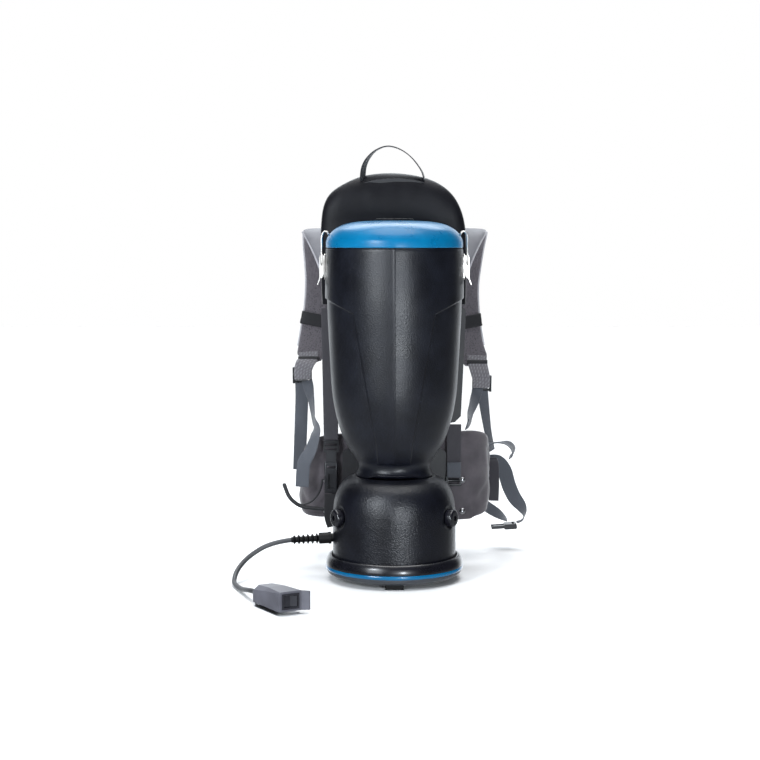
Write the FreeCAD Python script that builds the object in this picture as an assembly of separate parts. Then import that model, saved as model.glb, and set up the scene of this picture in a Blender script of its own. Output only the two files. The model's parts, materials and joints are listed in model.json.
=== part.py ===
"""Backpack vacuum cleaner, standing on its feet, in millimetres.

+Z is up and the origin is on the floor, on the axis of the dust canister. The front of the
machine faces -Y and the wearer's back is towards +Y. Each function below makes one sub-part,
and the table at the end names its node.
"""

import FreeCAD
import Part

import math
import os

# ---- Driving dimensions -------------------------------------------------------------------
WALL = 3.0                   # moulded shells
MOUTH_R = 107.5              # canister mouth and lid
RIM_Z = 522.4                # canister rim
LID_Z = RIM_Z + 1.2          # lid's lower edge, on its gasket
LID_TOP = 565.5
DOME_R = 97.5                # motor housing
DOME_TOP = 164.5
RING_TOP = 39.0              # base ring
RING_FLOOR = 7.0
SHELF_Z = 28.0               # where the motor housing stands in the base ring
HOSE_R = 19.5                # socket for a 38 mm hose cuff
BOARD_Y = 118.0              # front face of the harness frame
BOARD_T = 4.0
HALF_BOARD = 117.0
WEB_T = 2.0                  # webbing thickness
SHAFT_R = 5.0
CORD_R = 3.75

# Outer sides of the turned shells, as (radius, height), from the bottom up
CANISTER_SIDE = [(61, 168), (57.6, 174), (56.5, 180), (58.6, 188), (69.5, 204), (79.5, 221),
                 (89.7, 251), (96.3, 283), (99.5, 314), (103, 378), (105.5, 441)]
COLLAR_SIDE = [(108.6, 447), (MOUTH_R, RIM_Z)]
DOME_SIDE = [(DOME_R, 95), (96.6, 115), (93.4, 132), (87, 147), (77, 158.5), (66, DOME_TOP)]
LID_SIDE = [(MOUTH_R, 530), (106.3, 536.5), (101, 545.5), (91.5, 553.9), (77, 560.5),
            (55, 564.3), (31, LID_TOP)]
LID_INSIDE = [(100.8, 536), (98, 543), (89.2, 551.2), (75.8, 557.3), (54.5, 561.1), (31, 562.3)]
BAG_SIDE = [(93, 488), (95, 440), (93.5, 380), (90, 315), (84, 275), (75, 245), (61, 218),
            (40, 201), (1.5, 195)]

# Latches: places measured outwards from the canister's side, and in height
LATCH_PIVOT = (6.0, 508.0)
WIRE_PIVOT = (6.5, 498.0)
WIRE_R = 1.2
LEVER_HALF = 8.0             # half of the lever's width
WIRE_HALF = 11.8             # half of the wire loop's width

# Shoulder straps: place of the centre line, direction across the strap, width. Both start alike
# on the board, and hang a little differently, as soft straps do.
STRAP_T = 12.0
STRAP_TOP = [((94, 138.5, 492), (0.93, 0, -0.36), 56), ((104, 152, 518), (0.93, 0, -0.36), 57),
             ((116, 178, 541), (0.97, 0, -0.24), 58), ((125, 206, 550), (1, 0, -0.06), 58)]
STRAP_RIGHT = [((127, 230, 545), (1, 0, 0), 58), ((124, 248, 524), (1, 0, 0), 57),
               ((119, 257, 490), (1, 0, 0), 57), ((116, 260, 458), (1, 0, 0), 56),
               ((117, 258, 425), (1, 0, 0), 55), ((121, 252, 390), (1, 0, 0), 53),
               ((129, 243, 356), (1, 0, 0), 48), ((142, 234, 325), (1, 0, 0), 42)]
STRAP_LEFT = [((-125.5, 230, 546), (1, 0, 0), 58), ((-126.5, 248, 527), (1, 0, 0), 57),
              ((-125, 257, 493), (1, 0, 0), 56), ((-124, 260, 462), (1, 0, 0), 56),
              ((-127, 258, 421), (1, 0, 0), 55), ((-135, 251, 380), (1, 0, 0), 52),
              ((-141, 243, 355), (1, 0, 0), 48), ((-147.5, 235, 331), (1, 0, 0), 43)]
KEEPER = {"right": 394.0, "left": 398.0}     # height of each strap keeper's middle
KEEPER_HIGH = 27.0
BUCKLE = {"right": (150.0, 227.5, 292.0), "left": (-158.0, 227.5, 306.0)}
BUCKLE_TILT = 14.0

# Hip belt wing on the right: plan place of its centre, its middle height and its height
BELT_T = 16.0
WING = [((62, 133.5), 143, 142), ((104, 134), 143, 144), ((136, 147), 143, 142),
        ((151, 170), 143, 134), ((151, 202), 144, 126), ((142, 240), 145, 114),
        ((130, 280), 147, 100), ((114, 312), 149, 80)]

# Switch box: its middle on the floor, its turn about Z, and its size
BOX_AT = (-171.9, -233.7)
BOX_TURN = 31.0
BOX_SIZE = (36.0, 92.0, 29.0)
BOX_FLOOR = 6.2
# Its body narrows upwards towards the lead. Each row is a place along it, the height of its left
# wall, the top's left edge, the top's height, the top's right edge, the height of its right wall.
BOX_BODY = [(-46.0, 27.6, -16.6, 29.0, 16.6, 27.6), (0.0, 23.0, -12.5, 28.0, 14.5, 26.4),
            (36.0, 18.6, -10.0, 25.0, 12.0, 22.6), (46.0, 12.5, -7.5, 18.5, 9.0, 16.0)]

# The lead's route from the strain relief to the switch box
RELIEF_AT = (-97.0, -10.0, 66.0)
RELIEF_LENGTH = 66.0
RELIEF_DROP = 4.0            # how far its tip droops
LEAD = [(-162.9, -10.0, 62.0), (-194.0, -10.0, 58.0), (-228.0, -17.0, 39.0),
        (-246.5, -34.0, 20.5), (-250.5, -63.0, 5.6), (-242.0, -93.0, 4.6),
        (-231.5, -122.0, 6.2), (-221.5, -151.0, 11.5), (-210.3, -179.8, 16.2),
        (-196.9, -202.1, 16.8)]


# ---- Helpers ------------------------------------------------------------------------------
def vec(x, y, z):
    return FreeCAD.Vector(x, y, z)


def curve(points):
    """A smooth edge through points."""
    spline = Part.BSplineCurve()
    spline.interpolate(points)
    return spline.toShape()


def chain(runs, place):
    """A closed face from runs of points. A run marked "curve" is smooth, any other is straight."""
    edges = []
    last = None
    first = None
    for kind, points in runs:
        points = [place(*p) for p in points]
        if last is not None and last.distanceToPoint(points[0]) > 1e-6:
            edges.append(Part.makeLine(last, points[0]))
        if kind == "curve":
            edges.append(curve(points))
        else:
            edges += [Part.makeLine(a, b) for a, b in zip(points, points[1:])]
        first = first or points[0]
        last = points[-1]
    if last.distanceToPoint(first) > 1e-6:
        edges.append(Part.makeLine(last, first))
    return Part.Face(Part.Wire(edges))


def turned(*runs):
    """A solid turned about Z from runs of (radius, height)."""
    face = chain(runs, lambda r, z: vec(r, 0, z))
    return face.revolve(vec(0, 0, 0), vec(0, 0, 1), 360)


def inset(points, depth):
    """An open line of (radius, height) moved inwards by depth, towards the axis side."""
    moved = []
    for i, (r, z) in enumerate(points):
        a = points[max(i - 1, 0)]
        b = points[min(i + 1, len(points) - 1)]
        dr, dz = b[0] - a[0], b[1] - a[1]
        size = math.hypot(dr, dz)
        moved.append((r - depth * dz / size, z + depth * dr / size))
    return moved


def ring(inner, outer, low, high):
    """A plain ring about Z."""
    solid = Part.makeCylinder(outer, high - low, vec(0, 0, low))
    return solid.cut(Part.makeCylinder(inner, high - low, vec(0, 0, low)))


def box(x, y, z):
    """A box from its ranges along X, Y and Z."""
    return Part.makeBox(x[1] - x[0], y[1] - y[0], z[1] - z[0], vec(x[0], y[0], z[0]))


def plate(half_outline, y, thick):
    """A plate in the XZ plane, symmetric about X = 0, from the runs of its right half."""
    left = [(kind, [(-x, z) for x, z in reversed(points)]) for kind, points in
            reversed(half_outline)]
    face = chain(list(half_outline) + left, lambda x, z: vec(x, y, z))
    return face.extrude(vec(0, thick, 0))


def ribbon(stations, thick):
    """A strap through stations of (centre, direction across, width), thick along its normal."""
    centres = [vec(*s[0]) for s in stations]
    sections = []
    for i, (centre, across, width) in enumerate(stations):
        along = centres[min(i + 1, len(centres) - 1)] - centres[max(i - 1, 0)]
        across = vec(*across).normalize()
        normal = along.cross(across).normalize()
        side = across * (width / 2)
        deep = normal * (thick / 2)
        corners = [centres[i] + a * side_sign + b * deep_sign
                   for a, side_sign, b, deep_sign in
                   ((side, 1, deep, 1), (side, -1, deep, 1), (side, -1, deep, -1),
                    (side, 1, deep, -1))]
        sections.append(Part.makePolygon(corners + corners[:1]))
    return Part.makeLoft(sections, True, True)


def tube(route, radius):
    """A round tube along straight runs joined by arcs as large as the runs allow."""
    points = [vec(*p) for p in route]
    edges = []
    start = points[0]
    radii = []
    for a, b, c in zip(points, points[1:], points[2:]):
        back, ahead = (a - b).normalize(), (c - b).normalize()
        reach = 0.45 * min(a.distanceToPoint(b), b.distanceToPoint(c))
        half_turn = (math.pi - back.getAngle(ahead)) / 2
        radius_here = reach / math.tan(half_turn)
        radii.append(round(radius_here, 1))
        enter, leave = b + back * reach, b + ahead * reach
        bisector = (back + ahead).normalize()
        middle = b + bisector * (radius_here / math.cos(half_turn) - radius_here)
        edges.append(Part.makeLine(start, enter))
        edges.append(Part.Arc(enter, middle, leave).toShape())
        start = leave
    edges.append(Part.makeLine(start, points[-1]))
    path = Part.Wire(edges)
    section = Part.Wire(Part.makeCircle(radius, points[0], points[1] - points[0]))
    solid = path.makePipeShell([section], True, False)
    share = solid.Volume / (math.pi * radius ** 2 * path.Length)
    print("tube: length", round(path.Length, 1), "radii", radii, "volume share", round(share, 4))
    return solid


def mirrored(shape):
    """The same piece on the other side of the machine."""
    return shape.mirror(vec(0, 0, 0), vec(1, 0, 0))


def turn(shape, angle, centre=(0, 0, 0), axis=(0, 0, 1)):
    """A copy turned by angle, in degrees."""
    copy = shape.copy()
    copy.rotate(vec(*centre), vec(*axis), angle)
    return copy


def moved(shape, x, y, z):
    copy = shape.copy()
    copy.translate(vec(x, y, z))
    return copy


def around(shape, count, first=0.0):
    """Copies of a shape, evenly spaced about Z."""
    return [turn(shape, first + 360.0 * i / count) for i in range(count)]


def softened(shape, radius, keep=lambda edge: True):
    """The shape with the edges that keep() accepts rounded."""
    return shape.makeFillet(radius, [e for e in shape.Edges if keep(e)])


# ---- Base ---------------------------------------------------------------------------------
def base_ring():
    """Bumper ring with a groove for the accent band and a shelf for the motor housing."""
    return turned(
        ("line", [(92, RING_FLOOR), (99, RING_FLOOR)]),
        ("curve", [(99, RING_FLOOR), (104.6, 10.2), (107.4, 15.8)]),
        ("line", [(107.4, 15.8), (105, 15.8), (105, 24.2), (108.4, 24.2)]),
        ("curve", [(108.4, 24.2), (107.6, 31), (105.4, 36.4), (102.4, RING_TOP)]),
        ("line", [(102.4, RING_TOP), (99.9, RING_TOP), (99.9, SHELF_Z), (92, SHELF_Z)]),
    )


def accent_band():
    return turned(
        ("line", [(105.1, 16), (108.2, 16)]),
        ("curve", [(108.2, 16), (108.9, 20), (108.6, 24)]),
        ("line", [(108.6, 24), (105.1, 24)]),
    )


def rubber_feet():
    """Three pads under the ring, and a rubber ring under the middle of the base plate."""
    foot = box((79, 97), (-14.5, 14.5), (0, RING_FLOOR))
    foot = softened(foot, 2.5, lambda e: abs(e.tangentAt(e.FirstParameter).z) > 0.9)
    return Part.makeCompound(around(foot, 3, -90) + [ring(55, 59, 0, PLATE_Z)])


SCREW_CIRCLE_R = 83.0
PLATE_Z = 8.0                # underside of the base plate


def base_plate():
    """Exhaust grille: three rings of short slots round the axis."""
    plate_ = Part.makeCylinder(91.7, 3, vec(0, 0, PLATE_Z))
    for low, high, count in ((18, 34, 10), (40, 54, 16), (60, 72, 24)):
        slot = box((low, high), (-2.2, 2.2), (7, 12))
        plate_ = plate_.cut(Part.makeCompound(around(slot, count)))
    hole = Part.makeCylinder(2.2, 6, vec(SCREW_CIRCLE_R, 0, 7))
    return plate_.cut(Part.makeCompound(around(hole, 4, 45)))


def case_fasteners():
    """Screws through the base plate, and the rivets of the two latches."""
    screw = Part.makeCylinder(4, 1.8, vec(SCREW_CIRCLE_R, 0, 6.2))
    screw = screw.fuse(Part.makeCylinder(2, 17, vec(SCREW_CIRCLE_R, 0, 8)))
    cross = box((-2.6, 2.6), (-0.5, 0.5), (6, 7)).fuse(box((-0.5, 0.5), (-2.6, 2.6), (6, 7)))
    screws = around(screw.cut(moved(cross, SCREW_CIRCLE_R, 0, 0)), 4, 45)
    rivet = Part.makeSphere(2.6, on_side(1.9, 0, 480)).common(
        box((MOUTH_R + 2.2, MOUTH_R + 8), (-5, 5), (470, 490)))
    rivets = [rivet, moved(rivet, 0, 0, 12)]
    return Part.makeCompound(screws + rivets + [mirrored(r) for r in rivets])


def exhaust_filter():
    return ring(14, 76, 11.2, 21)


def motor_mount_plate():
    deck = Part.makeCylinder(91.7, 5, vec(0, 0, SHELF_Z - 5))
    vent = Part.makeCylinder(7, 7, vec(68, 0, SHELF_Z - 6))
    hole = Part.makeCylinder(2.2, 7, vec(SCREW_CIRCLE_R, 0, SHELF_Z - 6))
    centre = Part.makeCylinder(20, 7, vec(0, 0, SHELF_Z - 6))
    return deck.cut(Part.makeCompound(around(vent, 16) + around(hole, 4, 45) + [centre]))


# ---- Motor housing and motor --------------------------------------------------------------
def motor_housing():
    """Domed housing that the canister stands on, with a hole for the strain relief."""
    inside = inset(DOME_SIDE, WALL)
    shell = turned(
        ("line", [(DOME_R, SHELF_Z), DOME_SIDE[0]]),
        ("curve", DOME_SIDE),
        ("line", [DOME_SIDE[-1], (50, DOME_TOP), (50, DOME_TOP - WALL)]),
        ("curve", [(62, DOME_TOP - WALL)] + inside[-2::-1]),
        ("line", [inside[0], (DOME_R - WALL, SHELF_Z)]),
    )
    x, y, z = RELIEF_AT
    return shell.cut(Part.makeCylinder(7.6, 30, vec(x + 15, y, z), vec(-1, 0, 0)))


KNOB_TURN = 62.0             # the knobs' place round the housing, from the front
KNOB_Z = 103.5
KNOB_R = 14.0
KNOB_PROUD = 10.0


def housing_knobs():
    """Two round screw caps with a hexagon recess, on the front quarters of the housing."""
    knob = Part.makeCylinder(KNOB_R, KNOB_PROUD + 4, vec(DOME_R - 4, 0, KNOB_Z), vec(1, 0, 0))
    knob = softened(knob, 4.0, lambda e: e.CenterOfMass.x > DOME_R + KNOB_PROUD - 1)
    hexagon = Part.Face(Part.makePolygon(
        [vec(DOME_R + KNOB_PROUD - 5, 4.6 * math.cos(math.radians(a)),
             KNOB_Z + 4.6 * math.sin(math.radians(a))) for a in range(0, 361, 60)]))
    knob = knob.cut(hexagon.extrude(vec(KNOB_PROUD, 0, 0)))
    core = turned(("line", [(0, SHELF_Z), (DOME_R, SHELF_Z), DOME_SIDE[0]]),
                  ("curve", DOME_SIDE),
                  ("line", [DOME_SIDE[-1], (0, DOME_TOP)]))
    knob = knob.cut(core)
    return Part.makeCompound([turn(knob, -90 - KNOB_TURN), turn(knob, -90 + KNOB_TURN)])


def motor_frame():
    """Bell that holds the bearings and the stator, with four vent windows in its wall."""
    bell = turned(("line", [(11.2, 36), (49, 36), (49, 109), (72, 109), (72, 112), (11.2, 112),
                            (11.2, 109), (46.6, 109), (46.6, 39), (11.2, 39)]))
    window = box((40, 55), (-14, 14), (42, 53))
    return bell.cut(Part.makeCompound(around(window, 4, 45)))


def motor_rubber():
    """Lower cushion under the motor, and the gasket between the fan case and the housing."""
    return Part.makeCompound([ring(22, 47, SHELF_Z, 36), ring(50.5, 61, 150.5, DOME_TOP - WALL)])


def motor_bearings():
    return Part.makeCompound([ring(SHAFT_R, 11.1, 34.5, 40.5), ring(SHAFT_R, 11.1, 107.5, 113.5)])


def stator_core():
    core = ring(27, 46.4, 56, 94)
    slot = box((25, 40), (-5, 5), (50, 100))
    return core.cut(Part.makeCompound(around(slot, 2, 90)))


def field_windings():
    return Part.makeCompound([ring(28, 43, 94.2, 101), ring(28, 43, 49.5, 55.8)])


def brush_holders():
    holder = box((12.6, 34), (-4, 4), (42.5, 48.5))
    return Part.makeCompound(around(holder, 2))


def fan_shroud():
    return turned(("line", [(24, 150.5), (72, 150.5), (72, 112), (70.4, 112), (70.4, 149),
                            (24, 149)]))


def motor_shaft():
    shaft = Part.makeCylinder(SHAFT_R - 0.04, 113, vec(0, 0, 33))
    nut = Part.Face(Part.makePolygon(
        [vec(8 * math.cos(math.radians(a)), 8 * math.sin(math.radians(a)), 140.2)
         for a in range(0, 361, 60)])).extrude(vec(0, 0, 5))
    return shaft.fuse(nut)


def armature():
    """Laminated core with its windings, and the commutator below it."""
    core = ring(SHAFT_R, 25.5, 57, 93)
    slot = box((23.2, 27), (-1, 1), (55, 95))
    core = core.cut(Part.makeCompound(around(slot, 12)))
    core = core.fuse([ring(SHAFT_R, 18, 50.2, 57), ring(SHAFT_R, 18, 93, 101)])
    return Part.makeCompound([core, ring(SHAFT_R, 12, 41.6, 49.4)])


def impeller():
    """Backward-leaning blades between a hub disc and an eye ring."""
    blade = box((22, 60), (-0.8, 0.8), (119.5, 136.5))
    blades = around(turn(blade, 24, (22, 0, 0)), 9)
    trim = ring(60.5, 90, 119, 137)
    wheel = ring(SHAFT_R, 62, 117.5, 119.5).fuse([b.cut(trim) for b in blades])
    wheel = wheel.fuse([ring(25, 62, 136.5, 138), ring(SHAFT_R, 11, 114.5, 140)])
    return wheel


# ---- Canister and what it holds -----------------------------------------------------------
def canister_core(grow=0.0):
    """The canister's outer form as a full solid, grown outwards."""
    side = [(r + grow, z) for r, z in CANISTER_SIDE]
    collar = [(r + grow, z) for r, z in COLLAR_SIDE]
    return turned(("line", [(0, DOME_TOP), (60.5 + grow, DOME_TOP), side[0]]),
                  ("curve", side), ("line", [side[-1]] + collar + [(0, RIM_Z)]))


# The raised front panel: (half-width, height), from the collar's edge down to the neck
PANEL = [(63, 425), (27, 190)]


def canister():
    """Dust canister: a round shell, recessed beside its raised collar and front panel."""
    inside = inset(CANISTER_SIDE, WALL)
    shell = turned(
        ("line", [(57.5, DOME_TOP), (60.5, DOME_TOP), CANISTER_SIDE[0]]),
        ("curve", CANISTER_SIDE),
        ("line", [CANISTER_SIDE[-1]] + COLLAR_SIDE + [(MOUTH_R - WALL, RIM_Z), (104.5, 447)]),
        ("curve", inside[::-1]),
        ("line", [inside[0], (57.5, DOME_TOP)]),
    )
    (wide, high), (narrow, low) = PANEL
    outline = [(-wide, high), (-110, 446), (110, 446), (wide, high), (narrow, low), (-narrow, low)]
    face = Part.Face(Part.makePolygon([vec(x, -120, z) for x, z in outline + outline[:1]]))
    skin = turned(("curve", [(r + 2.5, z) for r, z in CANISTER_SIDE[4:]]),
                  ("line", [(108, 447), (MOUTH_R - 2, 447), (104, 441)]),
                  ("curve", [(r - 0.5, z) for r, z in CANISTER_SIDE[-1:3:-1]]))
    return shell.fuse(skin.common(face.extrude(vec(0, 100, 0))))


def motor_filter():
    return Part.makeCylinder(53, 9, vec(0, 0, 169))


def dust_bag():
    """Full paper bag: a thin closed skin with a neck under its collar."""
    inside = inset(BAG_SIDE, -1.2)
    return turned(("line", [(0, 195), BAG_SIDE[-1]]), ("curve", BAG_SIDE[::-1]),
                  ("line", [BAG_SIDE[0], (78, 504), (40, 505.8), (38.8, 505.8), (38.8, 504.6),
                            (77, 502.6), inside[0]]),
                  ("curve", inside), ("line", [inside[-1], (0, 196.2)]))


def bag_collar():
    return ring(23.5, 100, 506, 509)


# ---- Lid and hose inlet -------------------------------------------------------------------
def lid():
    """Shallow dome with a skirt that centres it in the mouth, and a hole for the inlet."""
    return turned(
        ("line", [(MOUTH_R, LID_Z), LID_SIDE[0]]),
        ("curve", LID_SIDE),
        ("line", [LID_SIDE[-1], (27.2, LID_TOP), (27.2, 562.3), LID_INSIDE[-1]]),
        ("curve", LID_INSIDE[::-1]),
        ("line", [LID_INSIDE[0], (100.8, 511), (103.3, 511), (103.3, LID_Z)]),
    )


def lid_gasket():
    return ring(103.5, 107, RIM_Z + 0.2, LID_Z)


INLET_TOP = 569.1
INLET_STOP = 530.0           # where a hose cuff comes to rest


def hose_inlet():
    """Swivelling socket: its collar stands on the lid and its tube enters the bag."""
    flange_z = LID_TOP + 0.4
    body = turned(("line", [(17.5, 500), (22.5, 500), (22.5, 552), (26.8, 558), (26.8, flange_z),
                            (30, flange_z), (30, INLET_TOP - 1.5), (28.5, INLET_TOP),
                            (HOSE_R, INLET_TOP), (HOSE_R, INLET_STOP), (17.5, INLET_STOP)]))
    flute = Part.makeCylinder(2.2, 20, vec(31.2, 0, flange_z + 1.0))
    return body.cut(Part.makeCompound(around(flute, 16)))


def inlet_retainer():
    return ring(26.9, 31.5, 558.5, 561.9)


# ---- Latches ------------------------------------------------------------------------------
def on_side(outwards, y, z):
    """A point on the right-hand latch: outwards is measured from the canister's side."""
    return vec(MOUTH_R + outwards, y, z)


def latch_base():
    """Riveted plate with two ears that carry the lever's pivot pin."""
    pivot_w, pivot_z = LATCH_PIVOT
    back = box((MOUTH_R + 0.7, MOUTH_R + 2.2), (-10, 10), (474, 514))
    back = softened(back, 3, lambda e: abs(e.tangentAt(e.FirstParameter).x) > 0.9)
    ear = box((MOUTH_R + 1.5, MOUTH_R + pivot_w + 3.2), (8.4, 10), (pivot_z - 3.5, pivot_z + 3.5))
    ears = [ear, ear.mirror(vec(0, 0, 0), vec(0, 1, 0))]
    pin = Part.makeCylinder(1.5, 20.2, on_side(pivot_w, -10.1, pivot_z), vec(0, 1, 0))
    core = canister_core(0.05)
    return back.fuse(ears + [pin]).cut(core)


def latch_lever():
    """Pressed lever: a channel round the pivot, and a handle with its tip turned out."""
    pivot_w, pivot_z = LATCH_PIVOT
    wire_w, wire_z = WIRE_PIVOT
    web = [(8.6, 508.6), (8.6, 478), (9.3, 473.5), (12.4, 465.5), (13.7, 466.3), (10.8, 474.2),
           (10.1, 478.2), (10.1, 508.6)]
    handle = Part.Face(Part.makePolygon([on_side(w, -LEVER_HALF, z) for w, z in web + web[:1]]))
    handle = handle.extrude(vec(0, 2 * LEVER_HALF, 0))
    cheek = [(2.8, 508), (8.8, 508.5), (8.8, 477), (6.6, 475.8), (3.1, 482)]
    side = Part.Face(Part.makePolygon([on_side(w, -LEVER_HALF, z) for w, z in cheek + cheek[:1]]))
    side = side.extrude(vec(0, 1.3, 0)).fuse(
        Part.makeCylinder(3.2, 1.3, on_side(pivot_w, -LEVER_HALF, pivot_z), vec(0, 1, 0)))
    sides = [side, side.mirror(vec(0, 0, 0), vec(0, 1, 0))]
    bore = Part.makeCylinder(1.55, 30, on_side(pivot_w, -15, pivot_z), vec(0, 1, 0))
    eye = Part.makeCylinder(WIRE_R + 0.05, 30, on_side(wire_w, -15, wire_z), vec(0, 1, 0))
    return handle.fuse(sides).cut(bore).cut(eye)


def latch_wire():
    """Wire loop: two legs from the lever, and a hook over the lid's shoulder."""
    pivot_w, pivot_z = WIRE_PIVOT
    foot = [on_side(pivot_w, -LEVER_HALF + 0.4, pivot_z), on_side(pivot_w, -WIRE_HALF, pivot_z),
            on_side(pivot_w, -WIRE_HALF, 544)]
    hook = [on_side(0.8, -WIRE_HALF, 552.2), on_side(-3.9, -WIRE_HALF, 545.8)]
    half = foot + hook
    pieces = []
    for a, b in zip(half, half[1:]):
        pieces.append(Part.makeCylinder(WIRE_R, a.distanceToPoint(b), a, b - a))
        pieces.append(Part.makeSphere(WIRE_R, b))
    bar = Part.makeCylinder(WIRE_R, 2 * WIRE_HALF, hook[-1], vec(0, 1, 0))
    legs = pieces[0].fuse(pieces[1:])
    return legs.fuse([legs.mirror(vec(0, 0, 0), vec(0, 1, 0)), bar]).removeSplitter()


# ---- Lead and switch box ------------------------------------------------------------------
def strain_relief():
    """Ribbed boot, stout at the housing and finned towards its drooping tip."""
    fins = 6
    profile = [(0, -8), (6.8, -8), (6.8, 3.0), (9.6, 3.0), (9.6, 7), (8.8, 7), (8.8, 22)]
    start, stop = 23.0, RELIEF_LENGTH
    pitch = (stop - start) / fins
    for i in range(fins):
        z = start + pitch * i
        outer = 8.2 - 1.5 * i / fins
        profile += [(4.5, z), (outer, z + 0.30 * pitch), (outer, z + 0.44 * pitch),
                    (4.5, z + 0.66 * pitch)]
    profile += [(4.5, stop), (0, stop)]
    face = Part.Face(Part.makePolygon([vec(r, 0, z) for r, z in profile + profile[:1]]))
    boot = face.revolve(vec(0, 0, 0), vec(0, 0, 1), 360)
    tilt = math.degrees(math.atan2(RELIEF_DROP, RELIEF_LENGTH))
    boot = turn(boot, -90 - tilt, axis=(0, 1, 0))
    return moved(boot, *RELIEF_AT)


def power_cord():
    return tube(LEAD, CORD_R)


def on_box(shape):
    """Moves a shape from the switch box's own frame to its place on the floor."""
    return moved(turn(shape, BOX_TURN), BOX_AT[0], BOX_AT[1], 0)


def box_wire(row, inset=0.0):
    """Closed section of the switch box at one of its rows, drawn in by an inset."""
    y, left, left_top, top, right_top, right = row
    half = BOX_SIZE[0] / 2
    low = -1.0 if inset else 0.0
    sides = []
    for wall, corner in ((left, left_top), (right, right_top)):
        slope = (top - wall) / (half - abs(corner))
        reach = inset * math.hypot(1, slope)
        run = (top - inset - wall + reach) / slope
        sides.append([(half - inset, low), (half - inset, wall + inset * slope - reach),
                      (half - run, top - inset)])
    outline = [(-u, v) for u, v in sides[0]] + sides[1][::-1]
    return Part.makePolygon([vec(u, y, BOX_FLOOR + v) for u, v in outline + outline[:1]])


def row_between(a, b, y):
    share = (y - a[0]) / (b[0] - a[0])
    return [p + (q - p) * share for p, q in zip(a, b)]


def box_shell():
    """The switch box's outer form: its front faces -Y and its rear corners are rounded."""
    wide, long, high = BOX_SIZE
    block = box((-wide / 2, wide / 2), (-long / 2, long / 2), (BOX_FLOOR, BOX_FLOOR + high))
    block = softened(block, 9, lambda e: abs(e.tangentAt(e.FirstParameter).z) > 0.9
                     and e.CenterOfMass.y > 0)
    return block.common(Part.makeLoft([box_wire(row) for row in BOX_BODY], True, True))


def box_cavity():
    """Room inside the switch box, open underneath."""
    front, middle, rear = BOX_BODY[:3]
    rows = [row_between(front, middle, front[0] + 3), middle, rear]
    return Part.makeLoft([box_wire(row, 2.4) for row in rows], True, True)


BEZEL = (28.0, 23.0)         # width and height of the rocker's bezel
CLIP_HALF = 18.0             # half of the belt clip's width
INLET_Y = 12.0               # middle of the power inlet, along the box's side
INLET_Z = BOX_FLOOR + 12.4


def switch_box():
    wide, long, high = BOX_SIZE
    shell = box_shell()
    window = box((-BEZEL[0] / 2 + 1.5, BEZEL[0] / 2 - 1.5), (-long / 2 - 1, -long / 2 + 5),
                 (BOX_FLOOR + 4, BOX_FLOOR + high - 4))
    lead_hole = Part.makeCylinder(CORD_R + 0.1, 20, vec(-5.2, long / 2 - 12, LEAD[-1][2]),
                                  vec(0, 1, 0))
    well = Part.makeCylinder(10.4, 10, vec(wide / 2 - 4, INLET_Y, INLET_Z), vec(1, 0, 0))
    guard = Part.Face(Part.makePolygon([
        vec(wide / 2 - 0.1, -long / 2, BOX_FLOOR), vec(wide / 2 + 10, -long / 2 - 5, BOX_FLOOR),
        vec(wide / 2 + 12, -long / 2 - 4, BOX_FLOOR), vec(wide / 2 + 12, -long / 2 - 1, BOX_FLOOR),
        vec(wide / 2 - 0.1, -long / 2 + 14, BOX_FLOOR), vec(wide / 2 - 0.1, -long / 2, BOX_FLOOR)]))
    guard = guard.extrude(vec(0, 0, high - 2))
    return on_box(shell.fuse(guard).cut([box_cavity(), window, lead_hole, well]))


def switch_box_base():
    """Screwed-in bottom cover, with the well of the power inlet behind the side wall."""
    wide, long, high = BOX_SIZE
    inner = wide / 2 - 2.6
    cover = box((-inner, inner), (-long / 2 + 3.2, long / 2 - 10.2), (BOX_FLOOR, BOX_FLOOR + 2.5))
    cup = Part.makeCylinder(10.2, 16, vec(inner - 14, INLET_Y, INLET_Z), vec(1, 0, 0))
    cup = cup.cut(Part.makeCylinder(8.9, 16, vec(inner - 12, INLET_Y, INLET_Z), vec(1, 0, 0)))
    keep = box((-inner, inner), (-long / 2, long / 2), (BOX_FLOOR, BOX_FLOOR + high - 2.6))
    return on_box(cover.fuse(cup.common(keep)))


def inlet_blades():
    wide, long, high = BOX_SIZE
    floor_x = wide / 2 - 2.6 - 12
    blade = box((floor_x, floor_x + 11), (INLET_Y - 3.2, INLET_Y + 3.2), (0, 1.5))
    pin = Part.makeCylinder(1.5, 12, vec(floor_x, INLET_Y, INLET_Z - 5.2), vec(1, 0, 0))
    return on_box(Part.makeCompound([moved(blade, 0, 0, INLET_Z + 3.6),
                                     moved(blade, 0, 0, INLET_Z - 0.8), pin]))


ROCK_AXIS_Y = -BOX_SIZE[1] / 2 + 1.5


def switch_bezel():
    wide, high = BEZEL
    middle = BOX_FLOOR + BOX_SIZE[2] / 2
    front = -BOX_SIZE[1] / 2
    frame = box((-wide / 2, wide / 2), (front - 1.6, front), (middle - high / 2, middle + high / 2))
    body = box((-wide / 2 + 1.6, wide / 2 - 1.6), (front, front + 14),
               (middle - 9.8, middle + 9.8))
    mouth = box((-wide / 2 + 3, wide / 2 - 3), (front - 3, front + 12), (middle - 8.4, middle + 8.4))
    return on_box(frame.fuse(body).cut(mouth))


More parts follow.
